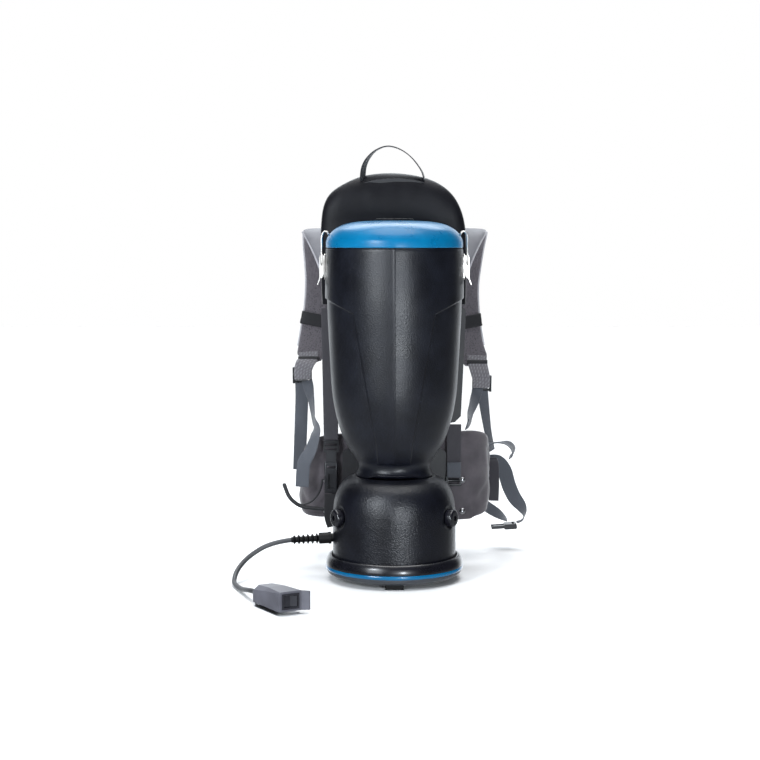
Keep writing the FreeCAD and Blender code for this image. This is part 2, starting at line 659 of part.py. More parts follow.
def switch_rocker():
    """Rocker with a shallow V front, turning about an upright pin in the bezel."""
    middle = BOX_FLOOR + BOX_SIZE[2] / 2
    front = -BOX_SIZE[1] / 2
    half = BEZEL[0] / 2 - 3.3
    outline = [(-half, front - 0.4), (0, front + 0.9), (half, front - 3.4), (half, front + 3),
               (3, front + 6.6), (-3, front + 6.6), (-half, front + 4.4)]
    face = Part.Face(Part.makePolygon([vec(x, y, middle - 8) for x, y in outline + outline[:1]]))
    sweep = Part.makeCylinder(10.4, 16, vec(0, ROCK_AXIS_Y, middle - 8))
    return on_box(face.extrude(vec(0, 0, 16)).common(sweep))


def belt_clip():
    """Flat spring clip under the switch box, open towards the front."""
    wide, long, high = BOX_SIZE
    half = CLIP_HALF
    strip = box((-half, half), (-34, 31), (0, 1.5))
    riser = box((-half, half), (31, 32.5), (0, BOX_FLOOR))
    pad = box((-half, half), (20, 32.5), (BOX_FLOOR - 1.2, BOX_FLOOR))
    lip = Part.Face(Part.makePolygon([vec(-half, -34, 0), vec(-half, -40, 1.2),
                                      vec(-half, -40, 2.6), vec(-half, -34, 1.5),
                                      vec(-half, -34, 0)])).extrude(vec(2 * half, 0, 0))
    return on_box(strip.fuse([riser, pad, lip]))


# ---- Harness ------------------------------------------------------------------------------
HOOD_LOW = 430.0
HOOD_EDGE = [(118, 560), (112.5, 597), (92, 622)]
HOOD_CROWN = [(92, 622), (48, 641), (0, 646)]


def back_frame():
    """Moulded back board: wide behind the canister, narrow at the neck, wide at the belt."""
    runs = [("line", [(0, 60), (52, 60), (76, 78), (86, 104), (86, 186), (60, 204), (60, 230),
                      (100, 236), (110, 246), (HALF_BOARD, 400), (HALF_BOARD, HOOD_LOW - 8),
                      (108, HOOD_LOW - 2), (108, 560)]),
            ("curve", [(108, 560), (103, 592), (84, 614)]),
            ("curve", [(84, 614), (44, 631), (0, 636)])]
    board = plate(runs, BOARD_Y, BOARD_T)
    hole = Part.makeCylinder(3.1, 20, vec(0, BOARD_Y - 5, 0), vec(0, 1, 0))
    holes = [moved(hole, x, 0, z) for x, z in BOLT_PLACES]
    return board.cut(Part.makeCompound(holes))


BOLT_PLACES = [(20, 80), (-20, 80), (20, 385), (-20, 385)]


def back_cover():
    """Black padded fabric sleeve over the top of the back board."""
    runs = [("line", [(0, HOOD_LOW), (118, HOOD_LOW), (118, 560)]), ("curve", HOOD_EDGE),
            ("curve", HOOD_CROWN)]
    sleeve = plate(runs, 111, 20)
    runs = [("line", [(0, HOOD_LOW - 5), (109, HOOD_LOW - 5), (109, 560)]),
            ("curve", [(109, 560), (104, 593), (85, 615)]),
            ("curve", [(85, 615), (45, 632.5), (0, 637.5)])]
    return sleeve.cut(plate(runs, BOARD_Y - 0.2, BOARD_T + 0.4))


def back_pad():
    """Grey mesh pad against the wearer's back."""
    pad = box((-62, 62), (131.5, 156), (250, 600))
    pad = softened(pad, 10, lambda e: e.CenterOfMass.y > 150)
    step = box((-62, 62), (BOARD_Y + BOARD_T + 0.5, 131.5), (250, HOOD_LOW - 2))
    return pad.fuse(step)


def strap_stations(side):
    if side == "right":
        return STRAP_TOP + STRAP_RIGHT
    return [((-x, y, z), (ax, ay, -az), width) for (x, y, z), (ax, ay, az), width in
            STRAP_TOP] + STRAP_LEFT


def shoulder_strap(side):
    """Padded strap, with the sewn webbing end that holds its buckle."""
    stations = strap_stations(side)
    (x, y, z), across, width = stations[-1]
    bx, by, bz = BUCKLE[side]
    end = ribbon([((x, y, z + 4), across, 30), ((bx, by + 1, bz + 13), across, 26)], 4.0)
    return ribbon(stations, STRAP_T).fuse(end)


def strap_keeper(side):
    """Elastic band round the strap."""
    middle = KEEPER[side]
    slab = box((-200, 200), (200, 300), (middle - KEEPER_HIGH / 2, middle + KEEPER_HIGH / 2))
    stations = strap_stations(side)
    outer = ribbon([(c, a, w + 7) for c, a, w in stations], STRAP_T + 5)
    inner = ribbon([(c, a, w + 0.8) for c, a, w in stations], STRAP_T + 0.8)
    return outer.common(slab).cut(inner)


def ladder_buckle(side):
    """Ladder-lock frame: two side rails and three cross bars."""
    rails = [box((s * 14.5 - 2, s * 14.5 + 2), (-3, 3), (-15, 13)) for s in (-1, 1)]
    bars = [Part.makeCylinder(r, 27, vec(-13.5, y, z), vec(1, 0, 0))
            for r, y, z in ((2.0, 0, 10.5), (1.8, -0.8, -1), (2.2, 0.6, -12.5))]
    frame = rails[0].fuse(rails[1:] + bars)
    return moved(turn(frame, BUCKLE_TILT, axis=(1, 0, 0)), *BUCKLE[side])


def hip_wing():
    wing = ribbon([((x, y, z), (0, 0, 1), high) for (x, y), z, high in WING], BELT_T)
    return wing


def hip_belt():
    """Belt in one node: the lumbar pad and a wing each side of it."""
    lumbar = box((-61, 61), (BOARD_Y + BOARD_T + 0.5, 158), (74, 214))
    lumbar = softened(lumbar, 9, lambda e: e.CenterOfMass.y > 150)
    return Part.makeCompound([lumbar, hip_wing(), mirrored(hip_wing())])


def adjuster_webbing():
    """Each side: the strap from the board up to the buckle, and its hanging tail."""
    right_lift = ribbon([((143, 226, 284), (1, 0, 0), 18), ((139, 221, 268), (0.75, 0.66, 0), 20),
                         ((130, 194, 248), (0.35, 0.93, 0), 20),
                         ((125, 164, 235), (0.2, 0.98, 0), 20),
                         ((121, 138, 230), (0.1, 0.99, 0), 20)], WEB_T)
    right_tail = ribbon([((151, 234.5, 287), (1, 0, 0), 18), ((153, 239, 268), (0.9, 0.45, 0), 20),
                         ((161, 244, 212), (0.65, 0.76, 0), 20),
                         ((169.5, 247, 173), (0.5, 0.87, 0), 20)], WEB_T)
    left_tail = ribbon([((-160, 234.5, 300), (1, 0, 0), 22), ((-159.5, 237, 270), (1, 0, 0), 22),
                        ((-161, 240, 226), (1, 0, 0), 22), ((-164.5, 242, 140), (1, 0, 0), 22)],
                       WEB_T)
    left_lift = ribbon([((-150, 226.5, 296), (1, 0, 0), 18), ((-142, 214, 264), (0.5, -0.86, 0), 20),
                        ((-137, 186, 238), (0.2, -0.98, 0), 20),
                        ((-133, 150, 228), (0.15, -0.98, 0.1), 20),
                        ((-131, 119, 214), (0.75, -0.6, 0.2), 21),
                        ((-138, 111, 190), (0.85, -0.3, 0.4), 22),
                        ((-149.5, 110, 167), (0.93, -0.1, 0.3), 22),
                        ((-152.5, 110.5, 129), (1, 0, 0), 22)], WEB_T)
    return Part.makeCompound([right_lift, right_tail, left_lift, left_tail])


def belt_webbing():
    """Right: the loop to the buckle and the tail that curls over the wing. Left: a short end."""
    loop = ribbon([((153, 240, 150), (0, 0.1, 1), 25), ((164, 252, 152), (0.1, 0.1, 1), 25),
                   ((180, 257, 151), (0.4, 0, 0.92), 25), ((192, 258, 136), (0.8, 0, 0.6), 25),
                   ((199, 257, 112), (0.96, 0, 0.28), 25), ((209, 256, 90), (0.9, 0.1, 0.42), 24),
                   ((222, 255, 73), (0.6, 0.6, 0.5), 22), ((227, 255, 60), (0.3, 0.9, 0.3), 20),
                   ((223, 255, 50), (0.1, 0.99, 0), 20), ((213, 255, 46), (0, 1, 0), 20)], WEB_T)
    under = ribbon([((153, 232, 84), (0.1, 0.2, 1), 18), ((164, 244, 73), (0.5, 0.4, 0.8), 19),
                    ((182, 252, 61), (0.45, 0.75, 0.5), 20),
                    ((196, 255, 51), (0.1, 0.99, 0.1), 20)], WEB_T)
    curl = ribbon([((157.5, 220, 185), (0, 0.9, 0.4), 20), ((168, 222, 189), (0.1, 0.99, 0), 20),
                   ((186, 226, 188.5), (0.1, 0.99, 0), 20), ((201, 236, 182), (0.2, 0.9, 0.4), 20),
                   ((207, 247, 170), (0.3, 0.8, 0.5), 20), ((200, 252, 160), (0.2, 0.9, 0.3), 18)],
                  WEB_T)
    end = ribbon([((-152, 243, 150), (0, 0, 1), 25), ((-146.8, 264, 149), (0, 0, 1), 25),
                  ((-139.6, 284, 148), (0, 0, 1), 25), ((-123.2, 316.8, 146), (0, 0, 1), 25),
                  ((-112.3, 337.6, 145), (0, 0, 1), 25)], WEB_T)
    return Part.makeCompound([loop, under, curl, end])


def belt_buckle():
    """Male half of the side-release buckle on the right, and the female half on the left."""
    body = box((-24, -2), (-13, 13), (-4.5, 4.5))
    body = softened(body, 2.5, lambda e: abs(e.tangentAt(e.FirstParameter).y) > 0.9)
    slot = box((-10, -6), (-10.4, 10.4), (-6, 6))
    prongs = [box((-46, -23), (s * 9 - 2.2, s * 9 + 2.2), (-2.6, 2.6)) for s in (-1, 1)]
    tongue = box((-42, -23), (-2.5, 2.5), (-1.8, 1.8))
    male = body.fuse(prongs + [tongue]).cut(slot)
    male = moved(turn(male, -4, axis=(0, 1, 0)), 215, 255, 41)
    female = box((-24, 24), (-4.5, 4.5), (-17, 17))
    female = softened(female, 3, lambda e: abs(e.tangentAt(e.FirstParameter).x) > 0.9)
    socket = box((0, 30), (-2.9, 2.9), (-13.4, 13.4))
    window = box((-18, -12), (-6, 6), (-12, 12))
    female = female.cut(Part.makeCompound([socket, window]))
    female = moved(turn(female, 63.4), -101.3, 359.5, 145)
    return Part.makeCompound([male, female])


def side_straps():
    """Webbing that hangs down the board's edges; the left one runs on under its buckle."""
    y = BOARD_Y - 3.4
    right = ribbon([((98.5, y, 233), (1, 0, 0), 24), ((98.5, y, 149), (1, 0, 0), 24)], WEB_T)
    left = ribbon([((-108, y, 425), (1, 0, 0), 25), ((-106, y, 320), (1, 0, 0), 25),
                   ((-104.5, y, 206), (1, 0, 0), 24)], WEB_T)
    lower = ribbon([((-105, y - 6.5, 118), (1, 0, 0), 20), ((-106, y - 7, 96), (1, 0, 0), 19),
                    ((-107, y - 6, 78), (1, 0, 0.2), 17), ((-104, y - 2, 62), (0.9, 0, 0.4), 14)],
                   WEB_T)
    return Part.makeCompound([right, left, lower])


def side_buckles():
    """Tension buckle with a round bar on the right; slider and squeeze buckle on the left."""
    y = BOARD_Y - 3.4
    right = box((86, 111), (y - 3.4, y + 3.4), (130, 148.6))
    right = softened(right, 2.0, lambda e: abs(e.tangentAt(e.FirstParameter).x) > 0.9)
    right = right.cut(box((89, 108), (y - 5, y + 5), (134, 144.5)))
    bar = Part.makeCylinder(2.8, 27, vec(85, y, 139.5), vec(1, 0, 0))
    slider = box((-117, -92), (y - 2.5, y + 2.5), (186, 205.6)).cut(
        box((-114, -95), (y - 4, y + 4), (190, 201)))
    cross = box((-116, -93), (y - 1.4, y + 1.4), (194, 197))
    clasp = box((-115.5, -93.5), (y - 5.4, y + 3), (119, 170))
    clasp = softened(clasp, 2.4, lambda e: abs(e.tangentAt(e.FirstParameter).z) > 0.9)
    clasp = clasp.cut(Part.makeCompound([box((-109, -100), (y - 8, y - 2), (126, 150)),
                                         box((-112, -97), (y - 8, y + 6), (160, 164))]))
    link = box((-113, -96), (y - 1, y + 1), (170, 186))
    return Part.makeCompound([right.fuse(bar), slider.fuse(cross), clasp.fuse(link)])


def carry_handle():
    """Webbing loop sewn to the top of the cover."""
    return ribbon([((-50, 121, 645), (0, 1, 0), 18), ((-42, 121, 667), (0, 1, 0), 18),
                   ((-25, 121, 685), (0, 1, 0), 18), ((-4, 121, 692), (0, 1, 0), 18),
                   ((18, 121, 686), (0, 1, 0), 18), ((37, 121, 669), (0, 1, 0), 18),
                   ((51, 121, 645), (0, 1, 0), 18)], WEB_T)


HOOK_Y = 112.0
HOOK = [(-88.0, 92.0), (-128.0, 92.0), (-156.0, 96.0), (-174.0, 110.0), (-182.0, 132.0)]
HOOK_LIP = [(-158.0, 97.5), (-137.0, 103.0), (-123.0, 120.0), (-118.5, 142.0)]


def cord_hook():
    """Hook for the mains lead: a stem with an upturned tip, and a slimmer lip beside it."""
    rod = tube([(x, HOOK_Y, z) for x, z in HOOK], 3.2)
    lip = tube([(x, HOOK_Y, z) for x, z in HOOK_LIP], 1.6)
    tip = Part.makeSphere(3.2, vec(HOOK[-1][0], HOOK_Y, HOOK[-1][1]))
    foot = box((-92, -70), (HOOK_Y - 3.2, BOARD_Y), (84, 100))
    return rod.fuse([lip, tip, foot.cut(canister_side_space())])


def canister_side_space():
    """The room that the motor housing and its base ring take."""
    return Part.makeCylinder(RING_LIMIT_R, RING_TOP + 5, vec(0, 0, 0)).fuse(
        Part.makeCylinder(DOME_R + 0.2, 140, vec(0, 0, RING_TOP)))


RING_LIMIT_R = 109.5


def mount_brackets():
    """Two saddles between the back board and the canister and motor housing."""
    upper = box((-32, 32), (88, BOARD_Y), (370, 400)).cut(canister_core(0.05))
    lower = box((-32, 32), (84, BOARD_Y), (64, 96)).cut(canister_side_space())
    bore = Part.makeCylinder(3.1, 13, vec(0, BOARD_Y - 12, 0), vec(0, 1, 0))
    holes = Part.makeCompound([moved(bore, x, 0, z) for x, z in BOLT_PLACES])
    return Part.makeCompound([upper.cut(holes), lower.cut(holes)])


def harness_fasteners():
    """Bolts through the board into the saddles, and the rivets on the belt's wings."""
    back = BOARD_Y + BOARD_T
    bolts = []
    for x, z in BOLT_PLACES:
        shank = Part.makeCylinder(3, back - BOARD_Y + 11, vec(x, BOARD_Y - 11, z), vec(0, 1, 0))
        head = Part.makeCylinder(5.5, 0.4, vec(x, back, z), vec(0, 1, 0))
        bolts.append(shank.fuse(head))
    wing = hip_wing()
    rivets = []
    for z in (86, 138):
        head = Part.makeSphere(6, vec(113, 130.5, z)).common(box((100, 126), (120, 128), (60, 160)))
        rivets.append(head.cut(wing))
    return Part.makeCompound(bolts + rivets + [mirrored(r) for r in rivets])


# ---- Nodes --------------------------------------------------------------------------------
NODES = {
    "base_ring": base_ring, "accent_band": accent_band, "rubber_feet": rubber_feet,
    "base_plate": base_plate, "case_fasteners": case_fasteners, "exhaust_filter": exhaust_filter,
    "motor_mount_plate": motor_mount_plate, "motor_housing": motor_housing,
    "housing_knobs": housing_knobs, "motor_frame": motor_frame, "motor_rubber": motor_rubber,
    "motor_bearings": motor_bearings, "stator_core": stator_core,
    "field_windings": field_windings, "brush_holders": brush_holders, "fan_shroud": fan_shroud,
    "motor_shaft": motor_shaft, "armature": armature, "impeller": impeller,
    "canister": canister, "motor_filter": motor_filter, "dust_bag": dust_bag,
    "bag_collar": bag_collar, "lid": lid, "lid_gasket": lid_gasket, "hose_inlet": hose_inlet,
    "inlet_retainer": inlet_retainer,
    "strain_relief": strain_relief, "power_cord": power_cord, "switch_box": switch_box,
    "switch_box_base": switch_box_base, "inlet_blades": inlet_blades,
    "switch_bezel": switch_bezel, "switch_rocker": switch_rocker, "belt_clip": belt_clip,
    "back_frame": back_frame, "back_cover": back_cover, "back_pad": back_pad,
    "hip_belt": hip_belt, "adjuster_webbing": adjuster_webbing, "belt_webbing": belt_webbing,
    "belt_buckle": belt_buckle, "side_straps": side_straps, "side_buckles": side_buckles,
    "carry_handle": carry_handle, "cord_hook": cord_hook, "mount_brackets": mount_brackets,
    "harness_fasteners": harness_fasteners,
}
# Made once for the right side, and mirrored for the left
MIRRORED = {"latch_base": latch_base, "latch_lever": latch_lever, "latch_wire": latch_wire}
# Made for each side, because the straps hang differently
SIDED = {"shoulder_strap": shoulder_strap, "strap_keeper": strap_keeper,
         "ladder_buckle": ladder_buckle}


def main():
    os.makedirs("parts", exist_ok=True)
    shapes = {name: make() for name, make in NODES.items()}
    for name, make in MIRRORED.items():
        shapes[name + "_right"] = make()
        shapes[name + "_left"] = mirrored(shapes[name + "_right"])
    for name, make in SIDED.items():
        for side in ("right", "left"):
            shapes[name + "_" + side] = make(side)
    for name, shape in shapes.items():
        shape.exportStep("parts/" + name + ".step")
    return shapes


main()
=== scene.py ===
"""Backpack vacuum cleaner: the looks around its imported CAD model.

+Z is up, the machine's front faces -Y and the wearer's back is towards +Y. The canister's axis is
X = Y = 0, and angles round it are measured from the front, positive to the right. Lengths in this
script are millimetres, and each mesh is turned to metres as it is made.
"""

import json
import math

import bmesh
import bpy
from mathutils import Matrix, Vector, noise


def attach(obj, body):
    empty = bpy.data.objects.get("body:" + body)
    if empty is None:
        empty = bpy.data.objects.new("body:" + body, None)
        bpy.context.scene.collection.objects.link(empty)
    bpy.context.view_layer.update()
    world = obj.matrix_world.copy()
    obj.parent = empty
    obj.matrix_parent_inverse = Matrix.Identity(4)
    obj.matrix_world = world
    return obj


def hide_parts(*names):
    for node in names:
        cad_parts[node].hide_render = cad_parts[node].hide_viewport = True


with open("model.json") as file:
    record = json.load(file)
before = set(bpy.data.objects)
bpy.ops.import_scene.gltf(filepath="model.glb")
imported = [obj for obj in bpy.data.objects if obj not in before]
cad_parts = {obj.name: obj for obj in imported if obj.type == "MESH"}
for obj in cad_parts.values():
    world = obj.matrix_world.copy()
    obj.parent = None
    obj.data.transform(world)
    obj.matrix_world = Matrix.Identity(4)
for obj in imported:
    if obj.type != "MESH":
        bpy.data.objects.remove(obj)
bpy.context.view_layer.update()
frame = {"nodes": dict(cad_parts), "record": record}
scene = bpy.context.scene
MM = 0.001

# ---- Sizes shared with the model -------------------------------------------------------------
WALL = 3.0
MOUTH_R = 107.5
RIM_Z = 522.4
LID_Z = 523.6
LID_TOP = 565.5
DOME_R = 97.5
DOME_TOP = 164.5
DOME_INNER_R = DOME_R - WALL
RING_TOP = 39.0
RING_FLOOR = 7.0
SHELF_Z = 28.0
CORD_R = 3.75
WEB_T = 1.7                     # thickness of all webbing
BOARD_Y = 118.0
KNOB_TURN = 62.0                # angle of each screw cap from the front, in degrees
KNOB_Z = 103.5
PANEL_TOP_HALF = 61.5           # half-width of the canister's raised panel at the collar

# Outlines as (radius, height)
CANISTER_SIDE = [(61, 168), (57.6, 174), (56.5, 180), (58.6, 188), (69.5, 204), (79.5, 221),
                 (89.7, 251), (96.3, 283), (99.5, 314), (103, 378), (105.5, 441), (104.4, RIM_Z)]
DOME_SIDE = [(DOME_R, 95), (96.6, 115), (93.4, 132), (87, 147), (77, 158.5), (66, DOME_TOP)]
LID_SIDE = [(MOUTH_R, 530), (106.3, 536.5), (101, 545.5), (91.5, 553.9), (77, 560.5),
            (55, 564.3), (31, LID_TOP)]
LID_INSIDE = [(100.8, 536), (98, 543), (89.2, 551.2), (75.8, 557.3), (54.5, 561.1), (31, 562.3)]

# The lead's route from the strain relief to the switch box
LEAD = [(-162.9, -10.0, 62.0), (-194.0, -10.0, 58.0), (-228.0, -17.0, 39.0),
        (-246.5, -34.0, 20.5), (-250.5, -63.0, 5.6), (-242.0, -93.0, 4.6),
        (-231.5, -122.0, 6.2), (-221.5, -151.0, 11.5), (-210.3, -179.8, 16.2),
        (-196.9, -202.1, 16.8)]

# Shoulder straps: (middle, direction across, width)
STRAP_T = 12.0
STRAP_TOP = [((94, 138.5, 492), (0.93, 0, -0.36), 56), ((104, 152, 518), (0.93, 0, -0.36), 57),
             ((116, 178, 541), (0.97, 0, -0.24), 58), ((125, 206, 550), (1, 0, -0.06), 58)]
STRAP_RIGHT = [((127, 230, 545), (1, 0, 0), 58), ((124, 248, 524), (1, 0, 0), 57),
               ((119, 257, 490), (1, 0, 0), 57), ((116, 260, 458), (1, 0, 0), 56),
               ((117, 258, 425), (1, 0, 0), 55), ((121, 252, 390), (1, 0, 0), 53),
               ((129, 243, 356), (1, 0, 0), 48), ((142, 234, 325), (1, 0, 0), 42)]
STRAP_LEFT = [((-125.5, 230, 546), (1, 0, 0), 58), ((-126.5, 248, 527), (1, 0, 0), 57),
              ((-125, 257, 493), (1, 0, 0), 56), ((-124, 260, 462), (1, 0, 0), 56),
              ((-127, 258, 421), (1, 0, 0), 55), ((-135, 251, 380), (1, 0, 0), 52),
              ((-141, 243, 355), (1, 0, 0), 48), ((-147.5, 235, 331), (1, 0, 0), 43)]
BUCKLE = {"right": (150.0, 227.5, 292.0), "left": (-158.0, 227.5, 306.0)}
KEEPER_Z = {"right": 394.0, "left": 398.0}
KEEPER_HIGH = 21.0
KEEPER_SLANT = 0.2              # rise of each keeper towards its outer end
BELT_T = 16.0
# Belt wing, as on the right: place in plan, lower edge, upper edge. The webbing pulls the upper
# edge down towards the end, and on the left it droops sooner.
WING = [((62, 133.5), 72, 217), ((104, 134), 71, 219), ((134, 146), 72, 218),
        ((149, 167), 76, 202), ((152, 202), 81, 180), ((142, 240), 88, 173),
        ((130, 280), 97, 170), ((114, 312), 109, 168)]
DROOP = {"right": (0,) * 8, "left": (3, 6, 30, 30, 14, 8, 6, 5)}


# ---- Camera, cord, light and floor -----------------------------------------------------------
def make_camera():
    """Straight in front, level with the lid's seam, looking slightly down."""
    distance, height, down_turn, side_turn = 2.596, 0.529, 4.70, 0.50
    data = bpy.data.cameras.new("camera")
    data.sensor_width = 36.0
    data.lens = 78.2
    data.clip_start = 0.05
    camera = bpy.data.objects.new("camera", data)
    camera.location = (0, -distance, height)
    camera.rotation_euler = (math.radians(90 - down_turn), 0, math.radians(side_turn))
    scene.collection.objects.link(camera)
    scene.camera = camera


def make_lead():
    """The mains lead: one smooth spline from the strain relief to the switch box."""
    data = bpy.data.curves.new("mains_lead", "CURVE")
    data.dimensions = "3D"
    spline = data.splines.new("NURBS")
    spline.points.add(len(LEAD) - 1)
    for point, (x, y, z) in zip(spline.points, LEAD):
        point.co = (x * MM, y * MM, z * MM, 1)
        point.radius = CORD_R * MM
    spline.order_u = 3
    spline.use_endpoint_u = True
    # The thickness is in the points' radius, because the curve's bounds grow with that radius
    data.bevel_depth = 1.0
    data.bevel_resolution = 6
    data.resolution_u = 24
    data.use_fill_caps = True
    lead = bpy.data.objects.new("mains_lead", data)
    scene.collection.objects.link(lead)
    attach(lead, "root")
    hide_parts("power_cord")
    return lead


def area_light(name, place, aim, size, power):
    """Soft box with a slightly cool light. Its place, aim and size are in metres."""
    data = bpy.data.lights.new(name, "AREA")
    data.shape = "RECTANGLE"
    data.size, data.size_y = size
    data.energy = power
    data.color = (0.88, 0.94, 1.0)
    light = bpy.data.objects.new(name, data)
    light.location = place
    light.rotation_euler = (Vector(aim) - Vector(place)).to_track_quat("-Z", "Y").to_euler()
    scene.collection.objects.link(light)


def make_world():
    """White backdrop to the camera. What lights the machine is a dim room, which glows behind it,
    above it and below it."""
    world = bpy.data.worlds.new("studio")
    scene.world = world
    world.use_nodes = True
    nodes, links = world.node_tree.nodes, world.node_tree.links
    room = nodes["Background"]
    room.inputs["Color"].default_value = (0.90, 0.95, 1.0, 1)
    direction = nodes.new("ShaderNodeTexCoord").outputs["Generated"]
    parts = nodes.new("ShaderNodeSeparateXYZ")
    links.new(direction, parts.inputs[0])
    total = None
    glows = [("Y", 0.68, 0.95, 0.03, 1.8), ("Z", 0.60, 0.95, 0.0, 0.8),
             ("Z", -0.08, -0.30, 0.0, 0.40)]
    for axis, low, high, least, most in glows:
        glow = nodes.new("ShaderNodeMapRange")
        glow.interpolation_type = "SMOOTHSTEP"
        for socket, value in (("From Min", low), ("From Max", high), ("To Min", least),
                              ("To Max", most)):
            glow.inputs[socket].default_value = value
        links.new(parts.outputs[axis], glow.inputs["Value"])
        both = nodes.new("ShaderNodeMath")
        both.inputs[0].default_value = 0.0
        if total:
            links.new(total, both.inputs[0])
        links.new(glow.outputs["Result"], both.inputs[1])
        total = both.outputs[0]
    links.new(total, room.inputs["Strength"])
    white = nodes.new("ShaderNodeBackground")
    white.inputs["Color"].default_value = (1, 1, 1, 1)
    seen = nodes.new("ShaderNodeLightPath")
    choose = nodes.new("ShaderNodeMixShader")
    links.new(seen.outputs["Is Camera Ray"], choose.inputs[0])
    links.new(room.outputs[0], choose.inputs[1])
    links.new(white.outputs[0], choose.inputs[2])
    links.new(choose.outputs[0], nodes["World Output"].inputs["Surface"])


def make_lights():
    """A wide soft sun overhead, two soft boxes at the front left, a low one at the front right, a
    weak one in front and a long one above and behind."""
    sky = bpy.data.lights.new("overhead", "SUN")
    sky.energy = 2.5
    sky.angle = math.radians(50)
    overhead = bpy.data.objects.new("overhead", sky)
    scene.collection.objects.link(overhead)
    area_light("key", (-1.15, -1.8, 0.7), (0, 0, 0.4), (0.9, 1.2), 18)
    area_light("key_core", (-1.26, -1.74, 1.15), (0, 0, 0.2), (0.4, 0.45), 19)
    area_light("low_strip", (0.55, -2.1, 0.25), (0, 0, 0.15), (0.22, 0.35), 21)
    area_light("front_fill", (0.3, -2.9, 0.6), (0, 0, 0.35), (1.0, 1.2), 2.5)
    area_light("top_back", (0, 1.1, 1.75), (0, 0, 0.5), (1.6, 0.7), 22)


def make_floor():
    """Plain pale floor, which glossy surfaces don't mirror."""
    floor = bpy.data.meshes.new("floor")
    half = 8.0
    floor.from_pydata([(-half, -half, 0), (half, -half, 0), (half, half, 0), (-half, half, 0)], [],
                      [(0, 1, 2, 3)])
    floor_object = bpy.data.objects.new("floor", floor)
    scene.collection.objects.link(floor_object)
    look = bpy.data.materials.new("floor_pale")
    look.use_nodes = True
    shader = look.node_tree.nodes["Principled BSDF"]
    shader.inputs["Base Color"].default_value = (0.90, 0.90, 0.90, 1)
    shader.inputs["Roughness"].default_value = 0.9
    floor.materials.append(look)
    floor_object.visible_glossy = False


# ---- Materials -------------------------------------------------------------------------------
def linear(red, green, blue):
    """A colour given in everyday 0 to 255 numbers, as the shader wants it."""
    def channel(value):
        share = value / 255
        return share / 12.92 if share <= 0.04045 else ((share + 0.055) / 1.055) ** 2.4
    return (channel(red), channel(green), channel(blue))


SOCKETS = {"metal": "Metallic", "coat": "Coat Weight", "coat_rough": "Coat Roughness",
           "sheen": "Sheen Weight", "sheen_rough": "Sheen Roughness",
           "specular": "Specular IOR Level"}
BAND_GAP = 0.314159             # distance between the wave texture's bands at scale 1


